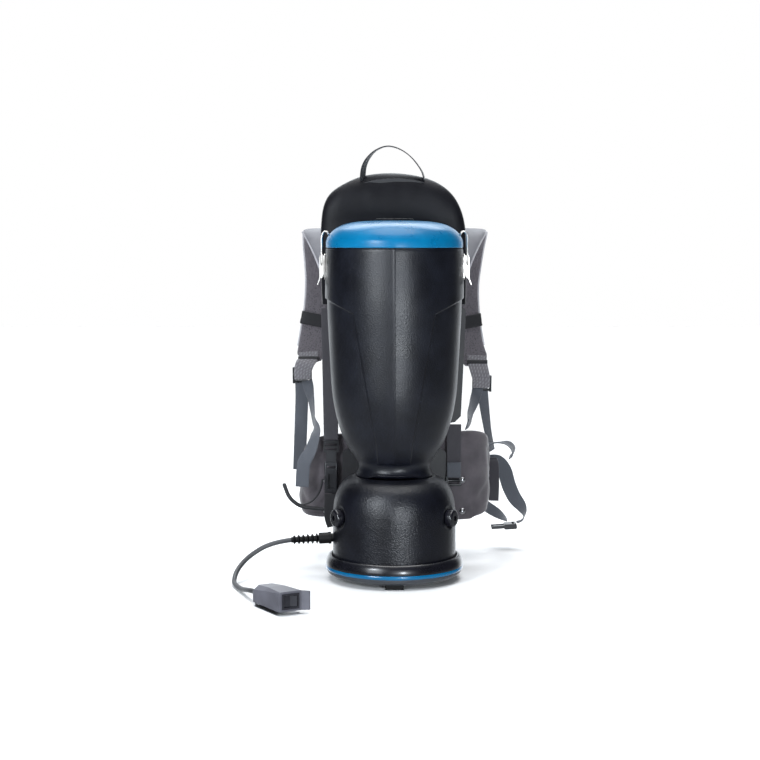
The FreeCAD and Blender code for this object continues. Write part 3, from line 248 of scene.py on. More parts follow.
class Look:
    """A procedural material. Each method adds one detail to its shader."""

    def __init__(self, colour, roughness, **sockets):
        self.material = bpy.data.materials.new("look")
        self.material.use_nodes = True
        self.tree = self.material.node_tree
        self.shader = self.tree.nodes["Principled BSDF"]
        self.colour = linear(*colour)
        self.shader.inputs["Base Color"].default_value = (*self.colour, 1)
        self.shader.inputs["Roughness"].default_value = roughness
        for short_name, value in sockets.items():
            self.shader.inputs[SOCKETS[short_name]].default_value = value
        coords = self.tree.nodes.new("ShaderNodeTexCoord")
        self.object = coords.outputs["Object"]
        self.uv = coords.outputs["UV"]
        self.normal = None

    def add(self, kind, inputs, **settings):
        """A shader node, with its inputs linked to other nodes or set to values."""
        node = self.tree.nodes.new("ShaderNode" + kind)
        for key, value in settings.items():
            setattr(node, key, value)
        for key, value in inputs.items():
            if isinstance(value, bpy.types.NodeSocket):
                self.tree.links.new(value, node.inputs[key])
            else:
                node.inputs[key].default_value = value
        return node

    def maths(self, operation, a, b):
        return self.add("Math", {0: a, 1: b}, operation=operation).outputs[0]

    def ranged(self, value, low, high, from_low=0.0, from_high=1.0):
        return self.add("MapRange", {"Value": value, "From Min": from_low, "From Max": from_high,
                                     "To Min": low, "To Max": high}).outputs["Result"]

    def noise(self, period, detail, stretch=None):
        """Noise whose blobs are about period millimetres across."""
        place = self.object
        if stretch:
            place = self.add("Mapping", {"Vector": place, "Scale": stretch}).outputs["Vector"]
        return self.add("TexNoise", {"Vector": place, "Scale": 1 / (period * MM),
                                     "Detail": detail}).outputs["Fac"]

    def cells(self, period, feature, coords):
        """Distance from the middle of uneven cells about period millimetres across."""
        return self.add("TexVoronoi", {"Vector": coords, "Scale": 1 / (period * MM)},
                        feature=feature).outputs["Distance"]

    def bands(self, period, direction, coords=None):
        """Even ribs, period millimetres apart, along the piece unless coords are given."""
        return self.add("TexWave", {"Vector": coords or self.uv, "Scale": BAND_GAP / (period * MM)},
                        wave_type="BANDS", bands_direction=direction).outputs["Fac"]

    def bump(self, height, depth):
        """Relief of about depth millimetres, on top of any relief already there."""
        inputs = {"Height": height, "Distance": depth * MM, "Strength": 1.0}
        if self.normal:
            inputs["Normal"] = self.normal
        self.normal = self.add("Bump", inputs).outputs["Normal"]
        self.tree.links.new(self.normal, self.shader.inputs["Normal"])

    def tinted(self, mask, other):
        """The colour runs from its own, where mask is 0, to another, where it is 1."""
        before = self.shader.inputs["Base Color"]
        first = before.links[0].from_socket if before.links else (*self.colour, 1)
        mix = self.add("Mix", {0: mask, 6: first, 7: (*linear(*other), 1)}, data_type="RGBA")
        self.tree.links.new(mix.outputs[2], before)

    def roughened(self, mask, low, high):
        """The roughness runs from low, where mask is 0, to high, where it is 1."""
        rough = self.ranged(mask, low, high)
        self.tree.links.new(rough, self.shader.inputs["Roughness"])

    def leather(self, size, depth):
        """Moulded leather grain: uneven cells with soft valleys between them."""
        drift = self.add("TexNoise", {"Vector": self.object, "Scale": 1 / (3 * size * MM),
                                      "Detail": 2.0}).outputs["Color"]
        moved = self.add("MixRGB", {"Fac": 0.0015, "Color1": self.object, "Color2": drift})
        grain = self.cells(size, "SMOOTH_F1", moved.outputs["Color"])
        self.bump(grain, depth)
        self.bump(self.noise(size * 0.4, 2.0), depth * 0.4)

    def worn(self, period, shade, low, high):
        """Faint unevenness in colour, towards shade, and in gloss, from low to high."""
        patch = self.noise(period, 4.0)
        self.tinted(self.ranged(patch, 0.0, 1.0, 0.35, 0.75), shade)
        self.roughened(patch, low, high)


def moulded(colour, shade, roughness, size=0.0, depth=0.0, **sockets):
    """Moulded plastic or rubber, with a leather grain when size is given."""
    look = Look(colour, roughness, **sockets)
    look.worn(34.0, shade, roughness - 0.06, roughness + 0.08)
    if size:
        look.leather(size, depth)
    else:
        look.bump(look.noise(0.7, 2.0), 0.012)
    return look


def metal(colour, shade, roughness, brush):
    """Metal with fine brush marks, upright and brush millimetres deep."""
    look = Look(colour, roughness, metal=1.0)
    look.worn(9.0, shade, roughness - 0.05, roughness + 0.1)
    look.bump(look.noise(0.35, 2.0, stretch=(1, 1, 0.05)), brush)
    return look


def cloth(colour, shade, roughness, weave, depth, **sockets):
    """Plain woven cloth: fine threads both ways and a soft unevenness."""
    look = Look(colour, roughness, **sockets)
    look.worn(28.0, shade, roughness - 0.05, roughness + 0.06)
    warp = look.bands(weave, "X", look.object)
    weft = look.bands(weave, "Z", look.object)
    threads = look.maths("MULTIPLY", warp, weft)
    look.bump(threads, depth)
    look.bump(look.noise(6.0, 4.0), depth * 2)
    return look


def webbing(colour, shade, rib, depth):
    """Webbing: ribs along its length, crossed by fine picks, with painted shade in their valleys."""
    look = Look(colour, 0.62, sheen=0.25, specular=0.35)
    ribs = look.bands(rib, "X")
    picks = look.bands(rib * 0.62, "DIAGONAL")
    weave = look.maths("MULTIPLY", ribs, picks)
    # Painted shade: the colour darkens towards shade where the weave is low
    look.tinted(look.ranged(weave, 0.55, 0.0), shade)
    look.bump(weave, depth)
    look.bump(look.noise(5.0, 3.0), depth)
    return look


def air_mesh(colour, shade, cell, depth):
    """Spacer mesh: close round openings in a knitted face, each darkened with painted shade."""
    look = Look(colour, 0.78, sheen=0.3, specular=0.25)
    hole = look.cells(cell, "F1", look.uv)
    # Painted shade: each opening darkens towards shade
    mask = look.ranged(hole, 1.0, 0.0, 0.18, 0.42)
    look.tinted(mask, shade)
    look.bump(look.ranged(hole, 0.0, 1.0, 0.1, 0.5), depth)
    look.bump(look.noise(9.0, 3.0), depth)
    return look


def make_looks():
    """A material for each of the record's slots, and more for the looks that pieces name."""
    made = {
        "lid_blue": moulded((0, 95, 139), (0, 106, 151), 0.28, 1.1, 0.02, specular=0.3),
        "canister_black": moulded((9, 11, 19), (16, 19, 29), 0.35, 1.6, 0.2),
        "housing_black": moulded((9, 10, 17), (16, 18, 27), 0.30, 1.7, 0.34),
        "ring_black": moulded((12, 12, 18), (20, 20, 28), 0.27, coat=0.3, coat_rough=0.16),
        "ring_matte": moulded((52, 55, 60), (66, 69, 75), 0.50, 0.9, 0.05),
        "accent_blue": moulded((0, 88, 132), (0, 98, 144), 0.20, coat=0.4, coat_rough=0.1),
        "grille_grey": moulded((58, 59, 61), (70, 71, 73), 0.5, 0.9, 0.04),
        "rubber_black": moulded((6, 6, 7), (12, 12, 13), 0.45, 0.8, 0.03, specular=0.22),
        "filter_white": cloth((222, 218, 206), (196, 190, 176), 0.9, 1.1, 0.08),
        "bag_paper": cloth((214, 200, 166), (196, 180, 142), 0.85, 0.8, 0.03),
        "card_brown": cloth((168, 132, 88), (150, 114, 72), 0.85, 0.9, 0.03),
        "steel": metal((196, 196, 198), (150, 150, 154), 0.30, 0.01),
        "latch_steel": metal((238, 235, 231), (214, 208, 200), 0.34, 0.004),
        "motor_alloy": metal((184, 185, 188), (150, 152, 156), 0.42, 0.02),
        "lamination": metal((120, 120, 126), (84, 84, 90), 0.45, 0.02),
        "copper": metal((196, 104, 56), (150, 70, 34), 0.28, 0.03),
        "brass": metal((212, 174, 92), (176, 136, 62), 0.26, 0.01),
        "inlet_black": moulded((8, 8, 13), (14, 14, 20), 0.55, 0.9, 0.03, specular=0.2),
        "frame_black": moulded((24, 24, 27), (36, 36, 40), 0.48, 1.2, 0.06),
        "hood_fabric": cloth((6, 6, 13), (11, 11, 19), 0.5, 0.8, 0.03, sheen=0.8,
                             sheen_rough=0.3, specular=0.25),
        # The mesh's second colour is painted shade inside its openings
        "mesh_grey": air_mesh((92, 88, 93), (62, 59, 64), 2.4, 0.35),
        "strap_face": cloth((117, 117, 122), (101, 101, 107), 0.6, 1.2, 0.06, sheen=0.3,
                            specular=0.3),
        "belt_grey": cloth((66, 62, 67), (84, 79, 84), 0.68, 0.9, 0.06, sheen=0.3, specular=0.3),
        # Each webbing look's second colour is painted shade for the weave's valleys
        "webbing": webbing((86, 90, 98), (52, 54, 60), 1.7, 0.22),
        "webbing_wide": webbing((134, 132, 137), (58, 56, 60), 5.0, 0.7),
        "webbing_dark": webbing((66, 64, 70), (42, 41, 46), 1.7, 0.22),
        "strap_black": webbing((34, 34, 38), (18, 18, 21), 1.5, 0.2),
        "buckle_black": moulded((26, 27, 30), (40, 41, 45), 0.28, 0.6, 0.01),
        "cord_grey": moulded((50, 51, 54), (66, 67, 70), 0.42, 0.5, 0.008),
        "switch_black": moulded((78, 78, 86), (94, 94, 103), 0.36, 1.3, 0.06),
        "rocker_black": moulded((30, 30, 35), (46, 46, 52), 0.24),
        "piping_grey": cloth((176, 175, 180), (150, 149, 155), 0.5, 0.6, 0.02),
    }
    for name, look in made.items():
        look.material.name = name
    return {name: look.material for name, look in made.items()}


# ---- Mesh helpers ----------------------------------------------------------------------------
def eased(low, high, value):
    """0 below low, 1 above high, smooth between."""
    share = min(max((value - low) / (high - low), 0.0), 1.0)
    return share * share * (3 - 2 * share)


def level(points, at):
    """The value at a place, on straight lines through (place, value) pairs in rising order."""
    for (a, va), (b, vb) in zip(points, points[1:]):
        if at <= b:
            return va + (vb - va) * max(at - a, 0.0) / (b - a)
    return points[-1][1]


def flowing(points, steps):
    """A smooth line through points of any number of values, with steps to each span."""
    ends = [points[0]] + list(points) + [points[-1]]
    line = []
    for p, q, r, s in zip(ends, ends[1:], ends[2:], ends[3:]):
        for i in range(steps):
            t = i / steps
            line.append(tuple(
                0.5 * (2 * b + (c - a) * t + (2 * a - 5 * b + 4 * c - d) * t * t
                       + (3 * b - a - 3 * c + d) * t ** 3)
                for a, b, c, d in zip(p, q, r, s)))
    line.append(tuple(points[-1]))
    return line


def spaced(line, spacing):
    """A line's points put at even distances, with the distance along it added to each."""
    places = [0.0]
    for a, b in zip(line, line[1:]):
        places.append(places[-1] + math.dist(a[:3], b[:3]))
    count = max(2, round(places[-1] / spacing))
    result = []
    span = 0
    for i in range(count + 1):
        want = places[-1] * i / count
        while span < len(line) - 2 and places[span + 1] < want:
            span += 1
        share = (want - places[span]) / max(places[span + 1] - places[span], 1e-9)
        result.append(tuple(u + (v - u) * share for u, v in zip(line[span], line[span + 1]))
                      + (want,))
    return result


def piece(name, vertices, faces, slot, uvs=None, body="root", replaces=(), looks=None):
    """A finished piece of the object from points in millimetres. looks names its materials, if
    they aren't just its slot's own."""
    mesh = bpy.data.meshes.new(name)
    mesh.from_pydata([tuple(c * MM for c in v) for v in vertices], [], faces)
    for look in looks or [slot]:
        mesh.materials.append(LOOKS[look])
    if uvs:
        layer = mesh.uv_layers.new(name="UVMap")
        for loop in mesh.loops:
            u, v = uvs[loop.vertex_index]
            layer.data[loop.index].uv = (u * MM, v * MM)
    outward = bmesh.new()
    outward.from_mesh(mesh)
    bmesh.ops.recalc_face_normals(outward, faces=outward.faces)
    outward.to_mesh(mesh)
    outward.free()
    mesh.shade_smooth()
    obj = bpy.data.objects.new(name, mesh)
    scene.collection.objects.link(obj)
    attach(obj, body)
    if replaces:
        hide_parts(*replaces)
    return obj


def skin(rows, loop=False):
    """Faces through closed rows of equal length. loop joins the last row to the first, and
    otherwise a cap closes each end."""
    count = len(rows[0])
    vertices = [p for row in rows for p in row]
    faces = []
    for i in range(len(rows) if loop else len(rows) - 1):
        a, b = i * count, ((i + 1) % len(rows)) * count
        for j in range(count):
            k = (j + 1) % count
            faces.append((a + j, a + k, b + k, b + j))
    if not loop:
        faces.append(tuple(range(count)))
        faces.append(tuple(range((len(rows) - 1) * count, len(rows) * count)))
    return vertices, faces


def turned(name, profile, slot, columns=144, shape=None, **given):
    """A closed shell turned about Z from a closed line of (radius, height). shape(angle, radius,
    height), if given, moves each point."""
    rows = []
    for radius, height in profile:
        row = []
        for i in range(columns):
            angle = 2 * math.pi * i / columns
            r, z = shape(angle, radius, height) if shape else (radius, height)
            row.append((r * math.sin(angle), -r * math.cos(angle), z))
        rows.append(row)
    return piece(name, *skin(rows, loop=True), slot, **given)


def pad(name, stations, slot, edge=0.2, power=5.0, corner=0.0, spacing=4.0, columns=14,
        relief=None, **given):
    """A strap or pad that follows stations of (middle, direction across, width, thickness). Its
    faces are crowned: edge is the share of thickness left at its sides, and a higher power keeps
    the middle flatter. corner rounds its ends. relief(along, across, side) adds millimetres to the
    face on one side, 1 or -1. With two looks, the second covers the face on side -1."""
    line = spaced(flowing([(*c, *a, w, t) for c, a, w, t in stations], 10), spacing)
    total = line[-1][-1]
    rows, uvs = [], []
    for i, station in enumerate(line):
        middle = Vector(station[:3])
        before, after = line[max(i - 1, 0)], line[min(i + 1, len(line) - 1)]
        ahead = (Vector(after[:3]) - Vector(before[:3])).normalized()
        across = Vector(station[3:6])
        across = (across - ahead * across.dot(ahead)).normalized()
        normal = ahead.cross(across)
        half, thick, along = station[6] / 2, station[7] / 2, station[8]
        near = min(along, total - along)
        if corner and near < corner:
            inward = corner - math.sqrt(max(corner ** 2 - (corner - near) ** 2, 0.0))
            half -= inward
            thick *= 0.25 + 0.75 * math.sqrt(max(1 - (1 - near / corner) ** 2, 0.0))
        row = []
        for side in (1, -1):
            for j in range(columns + 1):
                a = side * math.sin(math.pi / 2 * (2 * j / columns - 1))
                height = thick * (edge + (1 - edge) * math.sqrt(max(1 - abs(a) ** power, 0.0)))
                if relief:
                    height += relief(along, a * half, side) * (1 - abs(a) ** 8)
                row.append(tuple(middle + across * (a * half) + normal * (side * height)))
                uvs.append((a * half, along))
        rows.append(row)
    made = piece(name, *skin(rows), slot, uvs=uvs, **given)
    if len(made.data.materials) > 1:
        around = 2 * (columns + 1)
        for index, face in enumerate(made.data.polygons):
            face.material_index = int(index % around > columns)
    return made


def rod(name, points, radius, slot, spacing=2.0, **given):
    """A round rod, wire or piping through points."""
    sides = 10
    line = [Vector(p[:3]) for p in spaced(flowing(points, 6), spacing)]
    side = None
    rows = []
    for i, middle in enumerate(line):
        ahead = (line[min(i + 1, len(line) - 1)] - line[max(i - 1, 0)]).normalized()
        if side is None:
            side = ahead.orthogonal().normalized()
        side = (side - ahead * side.dot(ahead)).normalized()
        other = ahead.cross(side)
        rows.append([tuple(middle + side * (radius * math.cos(2 * math.pi * k / sides))
                           + other * (radius * math.sin(2 * math.pi * k / sides)))
                     for k in range(sides)])
    return piece(name, *skin(rows), slot, **given)


def thickened(stations, thick):
    """Stations with one thickness added to each."""
    return [(*station, thick) for station in stations]


# ---- Shells ----------------------------------------------------------------------------------
YOKE_LOW, YOKE_HIGH = 423.0, 445.0    # the collar's lower edge, at the panel and at the sides
PANEL_END = 188.0
PANEL = [(PANEL_END, 25), (225, 28), (YOKE_LOW, PANEL_TOP_HALF)]    # (height, half-width)
# (height, relief) of the panel and the collar over the recess
STEP = [(PANEL_END, 1.6), (250, 2.3), (400, 2.9), (YOKE_HIGH, 3.3), (RIM_Z, 3.1)]
KEEL = 3.0
KEEL_EDGE = 0.6                 # the sharper line along the middle of the keel
LID_KEEL = 2.4
KEEL_POWER = 1.05               # just over 1, so the keel's faces are slightly hollow
BEVEL = 2.4                     # width of the slope round the panel
FOOT_Z = 172.0                  # top of the part of the foot whose edge is raised in front
FOOT_GAP = 5.5                  # how far that edge stands over the dome


CANISTER_LINE = [(z, r) for r, z in [(60.5, DOME_TOP)] + flowing(CANISTER_SIDE, 8)]


def canister_radius(height):
    """Radius of the recessed surface, and of the neck below it."""
    return level(CANISTER_LINE, height)


def yoke_height(x):
    """Lower edge of the collar, which dips towards the panel."""
    return level([(0, YOKE_LOW), (PANEL_TOP_HALF, YOKE_LOW), (MOUTH_R - 1, YOKE_HIGH)], abs(x))


def canister_relief(x, height, front):
    """How far the surface stands out from the recess, x to the side of the middle."""
    yoke = yoke_height(x) if front else YOKE_HIGH
    raised = eased(yoke - BEVEL / 2, yoke + BEVEL / 2, height)
    half = level(PANEL, height)
    if front:
        panel = eased(-BEVEL / 2, BEVEL / 2, half - abs(x))
        panel *= eased(PANEL_END - 1, PANEL_END + 2, height)
        raised = 1 - (1 - raised) * (1 - panel)
    keel = 0.0
    if front:
        keel = KEEL * max(0.0, 1 - abs(x) / half) ** KEEL_POWER
        keel += KEEL_EDGE * math.exp(-(x / 1.2) ** 2)
        keel *= eased(182, 196, height)
    return raised * level(STEP, height) + keel


def canister():
    """Dust canister: collar, raised front panel with a keel, recessed sides, flared foot."""
    # Columns of points stand close together at the keel and at the panel's edge, and the rows
    # stand close together at the foot and at the collar's edge
    panel_angle = math.degrees(math.asin(PANEL_TOP_HALF / canister_radius(YOKE_LOW)))
    edge_column = 36.1
    half = [0, 0.3, 0.65, 1.2, 2.6, 4.5, 7, 10, 13, 16, 19, 22, 25, 28, 30.5, 32.7, 34.2, 35.1, 35.6,
            edge_column, 36.6, 37.1, 37.8, 39, 41, 44, 48] + list(range(52, 181, 4))
    half = [a * panel_angle / edge_column if a < 60 else a for a in half]
    angles = half[:-1] + [360 - a for a in half[:0:-1]]
    edge_rows = [YOKE_LOW + d for d in (-9, -5, -2.6, -1.2, -0.6, 0, 0.6, 1.2, 2.6, 5, 9)]
    heights = [DOME_TOP, 166, 168, 170, 172, 174, 176, 178, 180, 182, 184, 186, 187, 188, 189, 190.5,
               192, 194, 197, 200, 204, 208, 213, 218] + list(range(224, 412, 6)) + edge_rows
    heights += list(range(440, 516, 6)) + [517, 519.8, 521.4, RIM_Z - 0.4, RIM_Z]
    rows = []
    for nominal in heights:
        row = []
        for degrees in angles:
            turn = degrees if degrees <= 180 else 360 - degrees
            front = turn < 90
            x_there = canister_radius(nominal) * math.sin(math.radians(turn))
            yoke = yoke_height(x_there) if front else YOKE_HIGH
            share = eased(330, YOKE_LOW - 9, nominal) * (1 - eased(YOKE_LOW + 9, 516, nominal))
            height = nominal + (yoke - YOKE_LOW) * share
            radius = canister_radius(height)
            panel = math.degrees(math.asin(min(level(PANEL, height) / radius, 1)))
            shift = (panel - panel_angle) * level([(0, 0), (panel_angle, 1), (80, 0)], turn)
            angle = math.radians(turn + shift)
            radius += canister_relief(radius * math.sin(angle), height, front)
            if front and height < FOOT_Z:
                gap = FOOT_GAP * (1 - eased(26, 46, abs(radius * math.sin(angle))))
                height = FOOT_Z - (FOOT_Z - height) * (FOOT_Z - DOME_TOP - gap) / (FOOT_Z - DOME_TOP)
            if nominal > 521:
                radius -= (nominal - 521) * 0.7
            sign = 1 if degrees <= 180 else -1
            row.append((sign * radius * math.sin(angle), -radius * math.cos(angle), height))
        rows.append(row)
    inside = [(MOUTH_R - WALL + 0.3, RIM_Z), (MOUTH_R - WALL, 520), (104.2, 447), (102.4, 441),
              (100, 378), (96.5, 314), (93.3, 283), (86.8, 251), (77, 223), (66.5, 205), (56, 190),
              (53.5, 180), (54.6, 175), (57.5, 168), (57.5, DOME_TOP)]
    for r, z in inside:
        rows.append([(r * math.sin(math.radians(d)), -r * math.cos(math.radians(d)), z)
                     for d in angles])
    piece("canister_moulding", *skin(rows, loop=True), "canister_black", replaces=["canister"])


def lid():
    """Domed lid, with the canister's keel running on over its front."""
    side = flowing(LID_SIDE, 6)
    inside = flowing(LID_INSIDE[::-1], 3)
    profile = [(103.3, LID_Z), (106.6, LID_Z), (107.3, LID_Z + 0.4), (MOUTH_R, LID_Z + 1.2),
               (MOUTH_R, 525)] + side + [(28.2, LID_TOP), (27.3, LID_TOP - 0.6), (27.2, 562.3)]
    profile += inside + [(100.8, 511.4), (101.2, 511), (102.9, 511), (103.3, 511.4)]

    def keeled(angle, radius, height):
        outer = radius > 103.4 or (radius, height) in side
        if not outer:
            return radius, height
        x = radius * math.sin(angle)
        front = max(math.cos(angle), 0.0)
        rise = LID_KEEL * max(0.0, 1 - abs(x) / PANEL_TOP_HALF) ** KEEL_POWER * front
        return radius + rise * eased(30, 96, radius), height
    turned("lid_moulding", profile, "lid_blue", columns=180, shape=keeled, body="lid",
           replaces=["lid"])


def motor_housing():
    """Dome of the motor housing, with a round pocket behind each screw cap."""
    outer = [(DOME_R, z) for z in range(28, 78, 5)] + [(DOME_R, z / 2) for z in range(156, 190, 4)]
    outer += flowing(DOME_SIDE, 8)
    inner = [(50, DOME_TOP), (50, DOME_TOP - WALL), (62, DOME_TOP - WALL), (75, 156), (84.6, 145),
             (90.4, 131), (93.6, 114.6), (DOME_INNER_R, 95), (DOME_INNER_R, SHELF_Z)]
    pocket_deep, pocket_floor_r, pocket_r = 2.6, 15.5, 18.5

    def pocketed(angle, radius, height):
        if radius < 88 or radius == DOME_INNER_R:
            return radius, height
        turn = math.degrees(angle if angle <= math.pi else 2 * math.pi - angle)
        away = math.hypot(math.radians(turn - KNOB_TURN) * radius, height - KNOB_Z)
        return radius - pocket_deep * (1 - eased(pocket_floor_r, pocket_r, away)), height
    turned("housing_moulding", outer + inner, "housing_black", columns=300, shape=pocketed,
           replaces=["motor_housing"])


def base_ring():
    """Bumper ring: glossy rolled lip, a groove for the blue strip, and a matt lower edge."""
    low = flowing([(100.5, 9.6), (104.4, 11.2), (106.8, 14.6), (107.5, 16.6)], 5)
    lip = flowing([(108.3, 23.4), (108.2, 27.5), (107.0, 32.6), (104.9, 36.8),
                   (102.8, RING_TOP - 0.2), (101.4, RING_TOP)], 5)
    profile = [(92, RING_FLOOR + 0.5), (92.5, RING_FLOOR), (97.5, RING_FLOOR), (99, 8.0)] + low
    profile += [(107.2, 16.9), (105, 16.9), (105, 23.1), (108, 23.1)] + lip
    profile += [(100.3, RING_TOP), (99.9, RING_TOP - 0.5), (99.9, SHELF_Z), (92, SHELF_Z)]
    ring = turned("bumper_ring", profile, "ring_black", columns=180, replaces=["base_ring"],
                  looks=["ring_black", "ring_matte"])
    for face in ring.data.polygons:
        face.material_index = int(face.center.z < 17 * MM)


def accent_strip():
    """Blue strip in the bumper ring's groove."""
    face = flowing([(107.8, 17.1), (108.7, 18.4), (108.95, 20), (108.8, 21.6), (108.2, 22.9)], 4)
    turned("accent_strip", [(105.1, 17.1)] + face + [(105.1, 22.9)], "accent_blue",
           columns=180, replaces=["accent_band"])


# ---- Latches ---------------------------------------------------------------------------------
def latch_wires():
    """Wire loops, bent in one sweep from the lever up and over the lid's shoulder."""
    wire_r = 1.15
    half = 11.8
    pivot_z = 498
    hook_z = 544.4
    # (distance out from the canister's mouth, height)
    path = [(6.5, pivot_z), (6.5, 512), (6.6, 526), (6.7, 537), (5.6, 544.5), (2.6, 548.6),
            (-0.6, 548.9), (-2.9, 547.2), (-3.9, 545.2)]
    for side, sign in (("right", 1), ("left", -1)):
        leg = [(sign * (MOUTH_R + out), -half, z) for out, z in path]
        foot = [(leg[0][0], -7.6, pivot_z), (leg[0][0], -10.6, pivot_z)]
        bar = [(leg[-1][0], -half + 2.0, hook_z), (leg[-1][0], 0, hook_z)]
        first = foot + leg[1:] + bar
        loop = first + [(x, -y, z) for x, y, z in reversed(first[:-1])]
        rod("latch_loop_" + side, loop, wire_r, "latch_steel", body="wire_" + side,
            replaces=["latch_wire_" + side])


# ---- Harness ---------------------------------------------------------------------------------
HOOD_TOP = 646.0
HOOD_Y = 121.0
HOOD_HALF_T = 9.4
ROLL_Z, ROLL_X = 590.0, 85.0    # the cover rolls back above this and outside this
ROLL_BACK = 15.0
# Outline from the front, as (X, height)
HOOD_SIDE = [(-119, 430), (-120.5, 470), (-121, 520), (-120.5, 560), (-116.5, 590), (-106, 611),
             (-84, 627), (-50, 641), (-6, 645.5), (36, 641), (68, 630.5), (92, 613), (107, 590),
             (115.5, 560), (118, 520), (118, 470), (117.5, 430)]


def hood():
    """Black padded cover over the top of the back board, rolled back softly at the crown."""
    outline = flowing(HOOD_SIDE, 6)
    rings = [0, 0.015, 0.05, 0.1, 0.17, 0.26, 0.37, 0.5, 0.64, 0.8, 0.93]

    def place(x, z, share, side):
        """A point on the front (side 1) or the back, share of the way in from the outline."""
        px = x + (x * 0.12 - x) * share
        pz = z + (min(max(z, 470), 560) - z) * share
        crown = min(1.0, (HOOD_TOP - pz) / 62)
        roll = max(0.0, (pz - ROLL_Z) / (HOOD_TOP - ROLL_Z)) + max(0.0, (abs(px) - ROLL_X) / 60)
        back = ROLL_BACK * (1 - math.sqrt(max(1 - min(roll, 1.0) ** 2, 0.0)))
        fullness = math.sqrt(max(1 - (1 - min(share / 0.24, 1.0)) ** 2, 0.0))
        reach = 0.35 + 0.65 * math.sqrt(max(1 - (1 - crown) ** 2, 0.0))
        crease = 1.3 * noise.noise(Vector((px * 0.020, pz * 0.028, side * 3.0)))
        crease += 1.6 * noise.noise(Vector((px * 0.05, pz * 0.012, 5 + side))) * (1 - share)
        depth = 0.8 + HOOD_HALF_T * fullness * reach + crease * fullness
        return (px, HOOD_Y + back - side * depth, pz)
    rows = [[place(x, z, share, 1) for x, z in outline] for share in reversed(rings)]
    rows += [[place(x, z, share, -1) for x, z in outline] for share in rings]
    cover = piece("hood_cover", *skin(rows), "hood_fabric", replaces=["back_cover"])


def shoulder_straps():
    """Padded straps with piped edges, their keepers, and the webbing that holds each buckle."""
    left_top = [((-x, y, z), (ax, ay, -az), w) for (x, y, z), (ax, ay, az), w in STRAP_TOP]
    for side, stations in (("right", STRAP_TOP + STRAP_RIGHT), ("left", left_top + STRAP_LEFT)):
        strap = pad("shoulder_pad_" + side, thickened(stations, STRAP_T), "mesh_grey", edge=0.3,
                    power=6.0, corner=8.0, looks=["mesh_grey", "strap_face"],
                    replaces=["shoulder_strap_" + side])
        for edge_name, edge_side in (("outer", 1), ("inner", -1)):
            points = []
            for middle, across, width in stations[:-1]:
                across = Vector(across).normalized()
                points.append(tuple(Vector(middle) + across * (edge_side * (width / 2 + 0.2))))
            rod(f"strap_piping_{side}_{edge_name}", points, 2.3, "mesh_grey", spacing=4.0,
                looks=["piping_grey"])
        strap_end(side, stations[-1])
        keeper(side, stations)


def strap_end(side, station):
    """Broad webbing sewn into the strap's end, which covers the ladder buckle and turns under its
    bottom bar, and a fold where it leaves the strap, coloured black as painted shadow under it."""
    (x, y, z), across = station[:2]
    bx, by, bz = BUCKLE[side]
    inner = bx - math.copysign(1.2, bx)
    down = [((x, y - 2, z + 14), across, 33, 3.2), ((x, y - 6.5, z + 3), across, 33, 3.2),
            ((x * 0.4 + inner * 0.6, by - 9.5, bz + 19), across, 31, 3.2),
            ((inner, by - 9, bz + 7), across, 30, 3.2),
            ((inner, by - 8, bz - 3), across, 29, 3.2),
            ((inner, by - 4.5, bz - 6.8), across, 29, 3.0),
            ((inner, by + 1, bz - 6), across, 28, 2.6)]
    pad("strap_end_" + side, down, "webbing", edge=0.6, power=8.0, spacing=2.0,
        looks=["webbing_wide"])
    # Painted shadow: this fold is real webbing, but its black colour stands for the shadow under the
    # fold
    fold = [((x, y - 5.6, z + 6), across, 35, 2.6), ((x, y - 8.6, z + 1.5), across, 35, 2.6),
            ((x, y - 8.2, z - 2.5), across, 34, 2.0)]
    pad("strap_fold_shadow_" + side, fold, "strap_black", edge=0.5, power=6.0, spacing=1.5)


def keeper(side, stations):
    """Elastic band that holds the strap's loose webbing, worn at a slant."""
    line = flowing([(*c, *a, w) for c, a, w in stations], 10)
    hanging = [s for s in line if s[1] > 240]
    columns = 40
    band_t = 1.6
    rows, inner_rows = [], []
    for offset in (-0.5, -0.44, -0.25, 0, 0.25, 0.44, 0.5):
        height = KEEPER_Z[side] + KEEPER_HIGH * offset
        near = min(hanging, key=lambda s: abs(s[2] - height))
        swell = 0.4 if abs(offset) < 0.5 else 0.0
        half = near[6] / 2 + 3.0 + swell
        deep = STRAP_T / 2 + 2.0 + swell
        outer, inner = [], []
        for k in range(columns):
            angle = 2 * math.pi * k / columns
            c, s = math.cos(angle), math.sin(angle)
            c = math.copysign(abs(c) ** 0.35, c)
            s = math.copysign(abs(s) ** 0.45, s)
            level_there = height + math.copysign(KEEPER_SLANT, near[0]) * half * c
            outer.append((near[0] + half * c, near[1] + deep * s, level_there))
            inner.append((near[0] + (half - band_t) * c, near[1] + (deep - band_t) * s,
                          level_there))
        rows.append(outer)
        inner_rows.append(inner)
    piece("keeper_band_" + side, *skin(rows + inner_rows[::-1], loop=True), "strap_black",
          replaces=["strap_keeper_" + side])


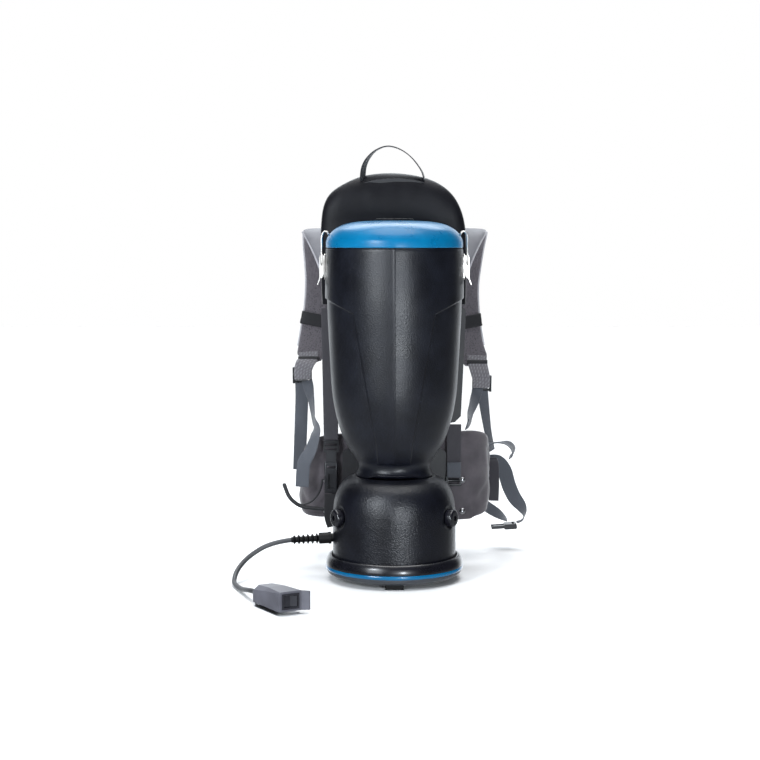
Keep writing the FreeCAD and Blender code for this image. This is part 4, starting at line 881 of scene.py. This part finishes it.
def hip_belt():
    """Lumbar pad and two padded wings."""
    lumbar = [((x, 140.5, 144), (0, 0, 1), 140, 34) for x in (-61, -30, 0, 30, 61)]
    middle = pad("lumbar_pad", lumbar, "belt_grey", edge=0.35, power=7.0, corner=14.0)
    for side, sign in (("right", 1), ("left", -1)):
        stations = [((sign * x, y, (low + high - drop) / 2), (0, 0, 1), high - drop - low, BELT_T)
                    for ((x, y), low, high), drop in zip(WING, DROOP[side])]

        def folds(along, across, face, sign=sign):
            """Pleats that fan out from where the strap pulls, a soft wave, and two sewn seams."""
            wave = noise.noise(Vector((along * 0.022, across * 0.03, sign * 7.0)))
            away, rise = 108 - along, across - 4
            pull = math.exp(-((math.hypot(away, rise) - 36) / 24) ** 2)
            pleats = math.sin(math.atan2(rise, away) * 8 + 1.0 + 1.5 * wave)
            seams = sum(math.exp(-((across - at) / 2.2) ** 2) for at in (46, -46))
            return 1.4 * wave + 1.7 * pull * pleats - 1.6 * seams
        wing = pad("belt_wing_" + side, stations, "belt_grey", edge=0.3, power=7.0, corner=12.0,
                   columns=34, relief=folds)
        if side == "right":
            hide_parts("hip_belt")


def back_pad():
    """Mesh pad against the wearer's back, with sewn channels across it."""
    stations = [((0, 139.5, 251), (1, 0, 0), 122, 32), ((0, 139.5, 340), (1, 0, 0), 124, 33),
                ((0, 140, 418), (1, 0, 0), 124, 32), ((0, 144, 446), (1, 0, 0), 124, 24),
                ((0, 144, 520), (1, 0, 0), 124, 24), ((0, 144, 599), (1, 0, 0), 120, 23)]

    def channels(along, across, face):
        nearest = min(abs(along - c) for c in (58, 116, 174, 232, 290))
        return -3.4 * math.exp(-(nearest / 4.0) ** 2)
    cushion = pad("back_cushion", stations, "mesh_grey", edge=0.35, power=6.0, corner=14.0,
                  columns=24, relief=channels, replaces=["back_pad"])


def strap_run(name, stations, slot="webbing", **given):
    """A length of webbing."""
    pad(name, thickened(stations, WEB_T), slot, edge=0.55, power=10.0, spacing=3.0, columns=8,
        **given)


def adjusters():
    """Webbing from each side of the board up to the ladder buckle, and each hanging tail."""
    strap_run("adjuster_lift_right",
              [((143, 226, 284), (1, 0, 0), 18), ((139, 221, 268), (0.75, 0.66, 0), 20),
               ((130, 194, 248), (0.35, 0.93, 0), 20), ((125, 164, 235), (0.2, 0.98, 0), 20),
               ((121, 138, 230), (0.1, 0.99, 0), 20)], replaces=["adjuster_webbing"])
    strap_run("adjuster_tail_right",
              [((151, 234.5, 287), (1, 0, 0), 18), ((153, 239, 268), (0.9, 0.45, 0), 20),
               ((161, 244, 212), (0.65, 0.76, 0), 20), ((169.5, 247, 173), (0.5, 0.87, 0), 20)])
    strap_run("adjuster_tail_left",
              [((-160, 234.5, 300), (1, 0, 0), 22), ((-159.5, 237, 270), (1, 0, 0), 22),
               ((-161, 240, 226), (1, 0, 0), 22), ((-164.5, 242, 140), (1, 0, 0), 22)])
    strap_run("adjuster_lift_left",
              [((-150, 226.5, 296), (1, 0, 0), 18), ((-142, 214, 264), (0.5, -0.86, 0), 20),
               ((-137, 186, 238), (0.2, -0.98, 0), 20), ((-133, 150, 228), (0.15, -0.98, 0.1), 20),
               ((-131, 119, 214), (0.75, -0.6, 0.2), 21), ((-138, 111, 190), (0.85, -0.3, 0.4), 22),
               ((-149.5, 110, 167), (0.93, -0.1, 0.3), 22), ((-152.5, 110.5, 129), (1, 0, 0), 22)])


def belt_webbing():
    """The belt's webbing: a loop and a curled tail on the right, and a short end on the left."""
    strap_run("belt_loop",
              [((153, 240, 150), (0, 0.1, 1), 25), ((164, 252, 152), (0.1, 0.1, 1), 25),
               ((180, 257, 151), (0.4, 0, 0.92), 25), ((192, 258, 136), (0.8, 0, 0.6), 25),
               ((199, 257, 112), (0.96, 0, 0.28), 25), ((209, 256, 90), (0.9, 0.1, 0.42), 24),
               ((222, 255, 73), (0.6, 0.6, 0.5), 22), ((227, 255, 60), (0.3, 0.9, 0.3), 20),
               ((223, 255, 50), (0.1, 0.99, 0), 20), ((213, 255, 46), (0, 1, 0), 20)],
              replaces=["belt_webbing"])
    strap_run("belt_under",
              [((153, 232, 84), (0.1, 0.2, 1), 18), ((164, 244, 73), (0.5, 0.4, 0.8), 19),
               ((182, 252, 61), (0.45, 0.75, 0.5), 20), ((196, 255, 51), (0.1, 0.99, 0.1), 20)])
    strap_run("belt_fold",
              [((168, 225, 163), (0.97, -0.25, 0), 17), ((171, 233, 150), (0.97, -0.25, 0), 19),
               ((172, 235, 118), (0.97, -0.25, 0), 19), ((172, 233, 87), (0.97, -0.25, 0), 17)],
              looks=["webbing_dark"])
    strap_run("belt_curl",
              [((157.5, 220, 185), (0, 0.9, 0.4), 20), ((168, 222, 189), (0.1, 0.99, 0), 20),
               ((186, 226, 188.5), (0.1, 0.99, 0), 20), ((201, 236, 182), (0.2, 0.9, 0.4), 20),
               ((207, 247, 170), (0.3, 0.8, 0.5), 20), ((200, 252, 160), (0.2, 0.9, 0.3), 18)])
    strap_run("belt_end_left",
              [((-152, 243, 150), (0, 0, 1), 25), ((-146.8, 264, 149), (0, 0, 1), 25),
               ((-139.6, 284, 148), (0, 0, 1), 25), ((-123.2, 316.8, 146), (0, 0, 1), 25),
               ((-112.3, 337.6, 145), (0, 0, 1), 25)])


def side_straps():
    """Compression webbing down the board's edges, with a tucked end and a loose tail."""
    y = BOARD_Y - 3.4
    strap_run("side_strap_right", [((98.5, y, 233), (1, 0, 0), 24), ((98.5, y, 190), (1, 0, 0), 24),
                                   ((98.5, y, 149), (1, 0, 0), 24)], replaces=["side_straps"],
              looks=["webbing_dark"])
    strap_run("side_tuck_right", [((98.5, y - 3, 170), (1, 0, 0), 23),
                                  ((98.5, y - 4.5, 162), (1, 0, 0), 23),
                                  ((98.5, y - 5.5, 145), (1, 0, 0), 23)])
    strap_run("side_strap_left", [((-108, y, 425), (1, 0, 0), 25), ((-106, y, 320), (1, 0, 0), 25),
                                  ((-104.5, y, 206), (1, 0, 0), 24)], looks=["webbing_dark"])
    strap_run("side_tail_left", [((-105, y - 6.5, 118), (1, 0, 0), 20),
                                 ((-106, y - 7, 96), (1, 0, 0), 19),
                                 ((-107, y - 6, 78), (1, 0, 0.2), 17),
                                 ((-104, y - 2, 62), (0.9, 0, 0.4), 14)],
              looks=["strap_black"])


def carry_loop():
    """Webbing handle sewn to the top of the hood; its left leg is turned towards the front."""
    strap_run("carry_loop",
              [((-52, 124, 633), (0.5, 0.87, 0), 18), ((-51.5, 123, 645), (0.45, 0.88, 0), 18),
               ((-49.5, 121, 656), (0.4, 0.9, 0), 18), ((-43, 121, 669), (0.3, 0.95, 0), 18),
               ((-30, 121, 682), (0.1, 0.99, 0), 18), ((-11, 121, 688.5), (0, 1, 0), 18),
               ((10, 121, 683), (0.05, 1, 0), 18), ((29, 121, 669), (0.09, 1, 0), 18),
               ((44, 122, 649), (0.12, 1, 0), 18), ((49, 124, 634), (0.14, 1, 0), 18)],
              slot="strap_black", replaces=["carry_handle"])


# ---- The kept CAD nodes ----------------------------------------------------------------------
# How far each node's outer edges are rounded
CRISP = {"hose_inlet": 0.5, "latch_base_right": 0.4, "latch_base_left": 0.4,
         "latch_lever_right": 0.4, "latch_lever_left": 0.4, "ladder_buckle_right": 0.8,
         "ladder_buckle_left": 0.8, "belt_buckle": 0.8, "side_buckles": 0.7, "switch_box": 0.6,
         "switch_bezel": 0.5, "switch_rocker": 0.4, "belt_clip": 0.3, "rubber_feet": 0.6,
         "housing_knobs": 0.4, "back_frame": 0.8, "mount_brackets": 0.8, "cord_hook": 0.4}


def dress_nodes():
    """Each node that stays takes its slot's material, and its outer edges are softened."""
    slots = {part["node"]: part["material_slot"] for part in frame["record"]["subparts"]}
    for name, node in frame["nodes"].items():
        for index in range(len(node.material_slots)):
            node.material_slots[index].material = LOOKS[slots[name]]
        if name in CRISP and not node.hide_render:
            weld = node.modifiers.new("weld", "WELD")
            weld.merge_threshold = 0.02 * MM
            bevel = node.modifiers.new("bevel", "BEVEL")
            bevel.width = CRISP[name] * MM
            bevel.segments = 2
            bevel.limit_method = "ANGLE"
            bevel.angle_limit = math.radians(35)


# ---- The scene -------------------------------------------------------------------------------
scene.view_settings.view_transform = "Standard"
make_camera()
lead = make_lead()
make_world()
make_lights()
make_floor()
LOOKS = make_looks()
lead.data.materials.append(LOOKS["cord_grey"])
canister()
lid()
motor_housing()
base_ring()
accent_strip()
latch_wires()
hood()
shoulder_straps()
hip_belt()
back_pad()
adjusters()
belt_webbing()
side_straps()
carry_loop()
dress_nodes()
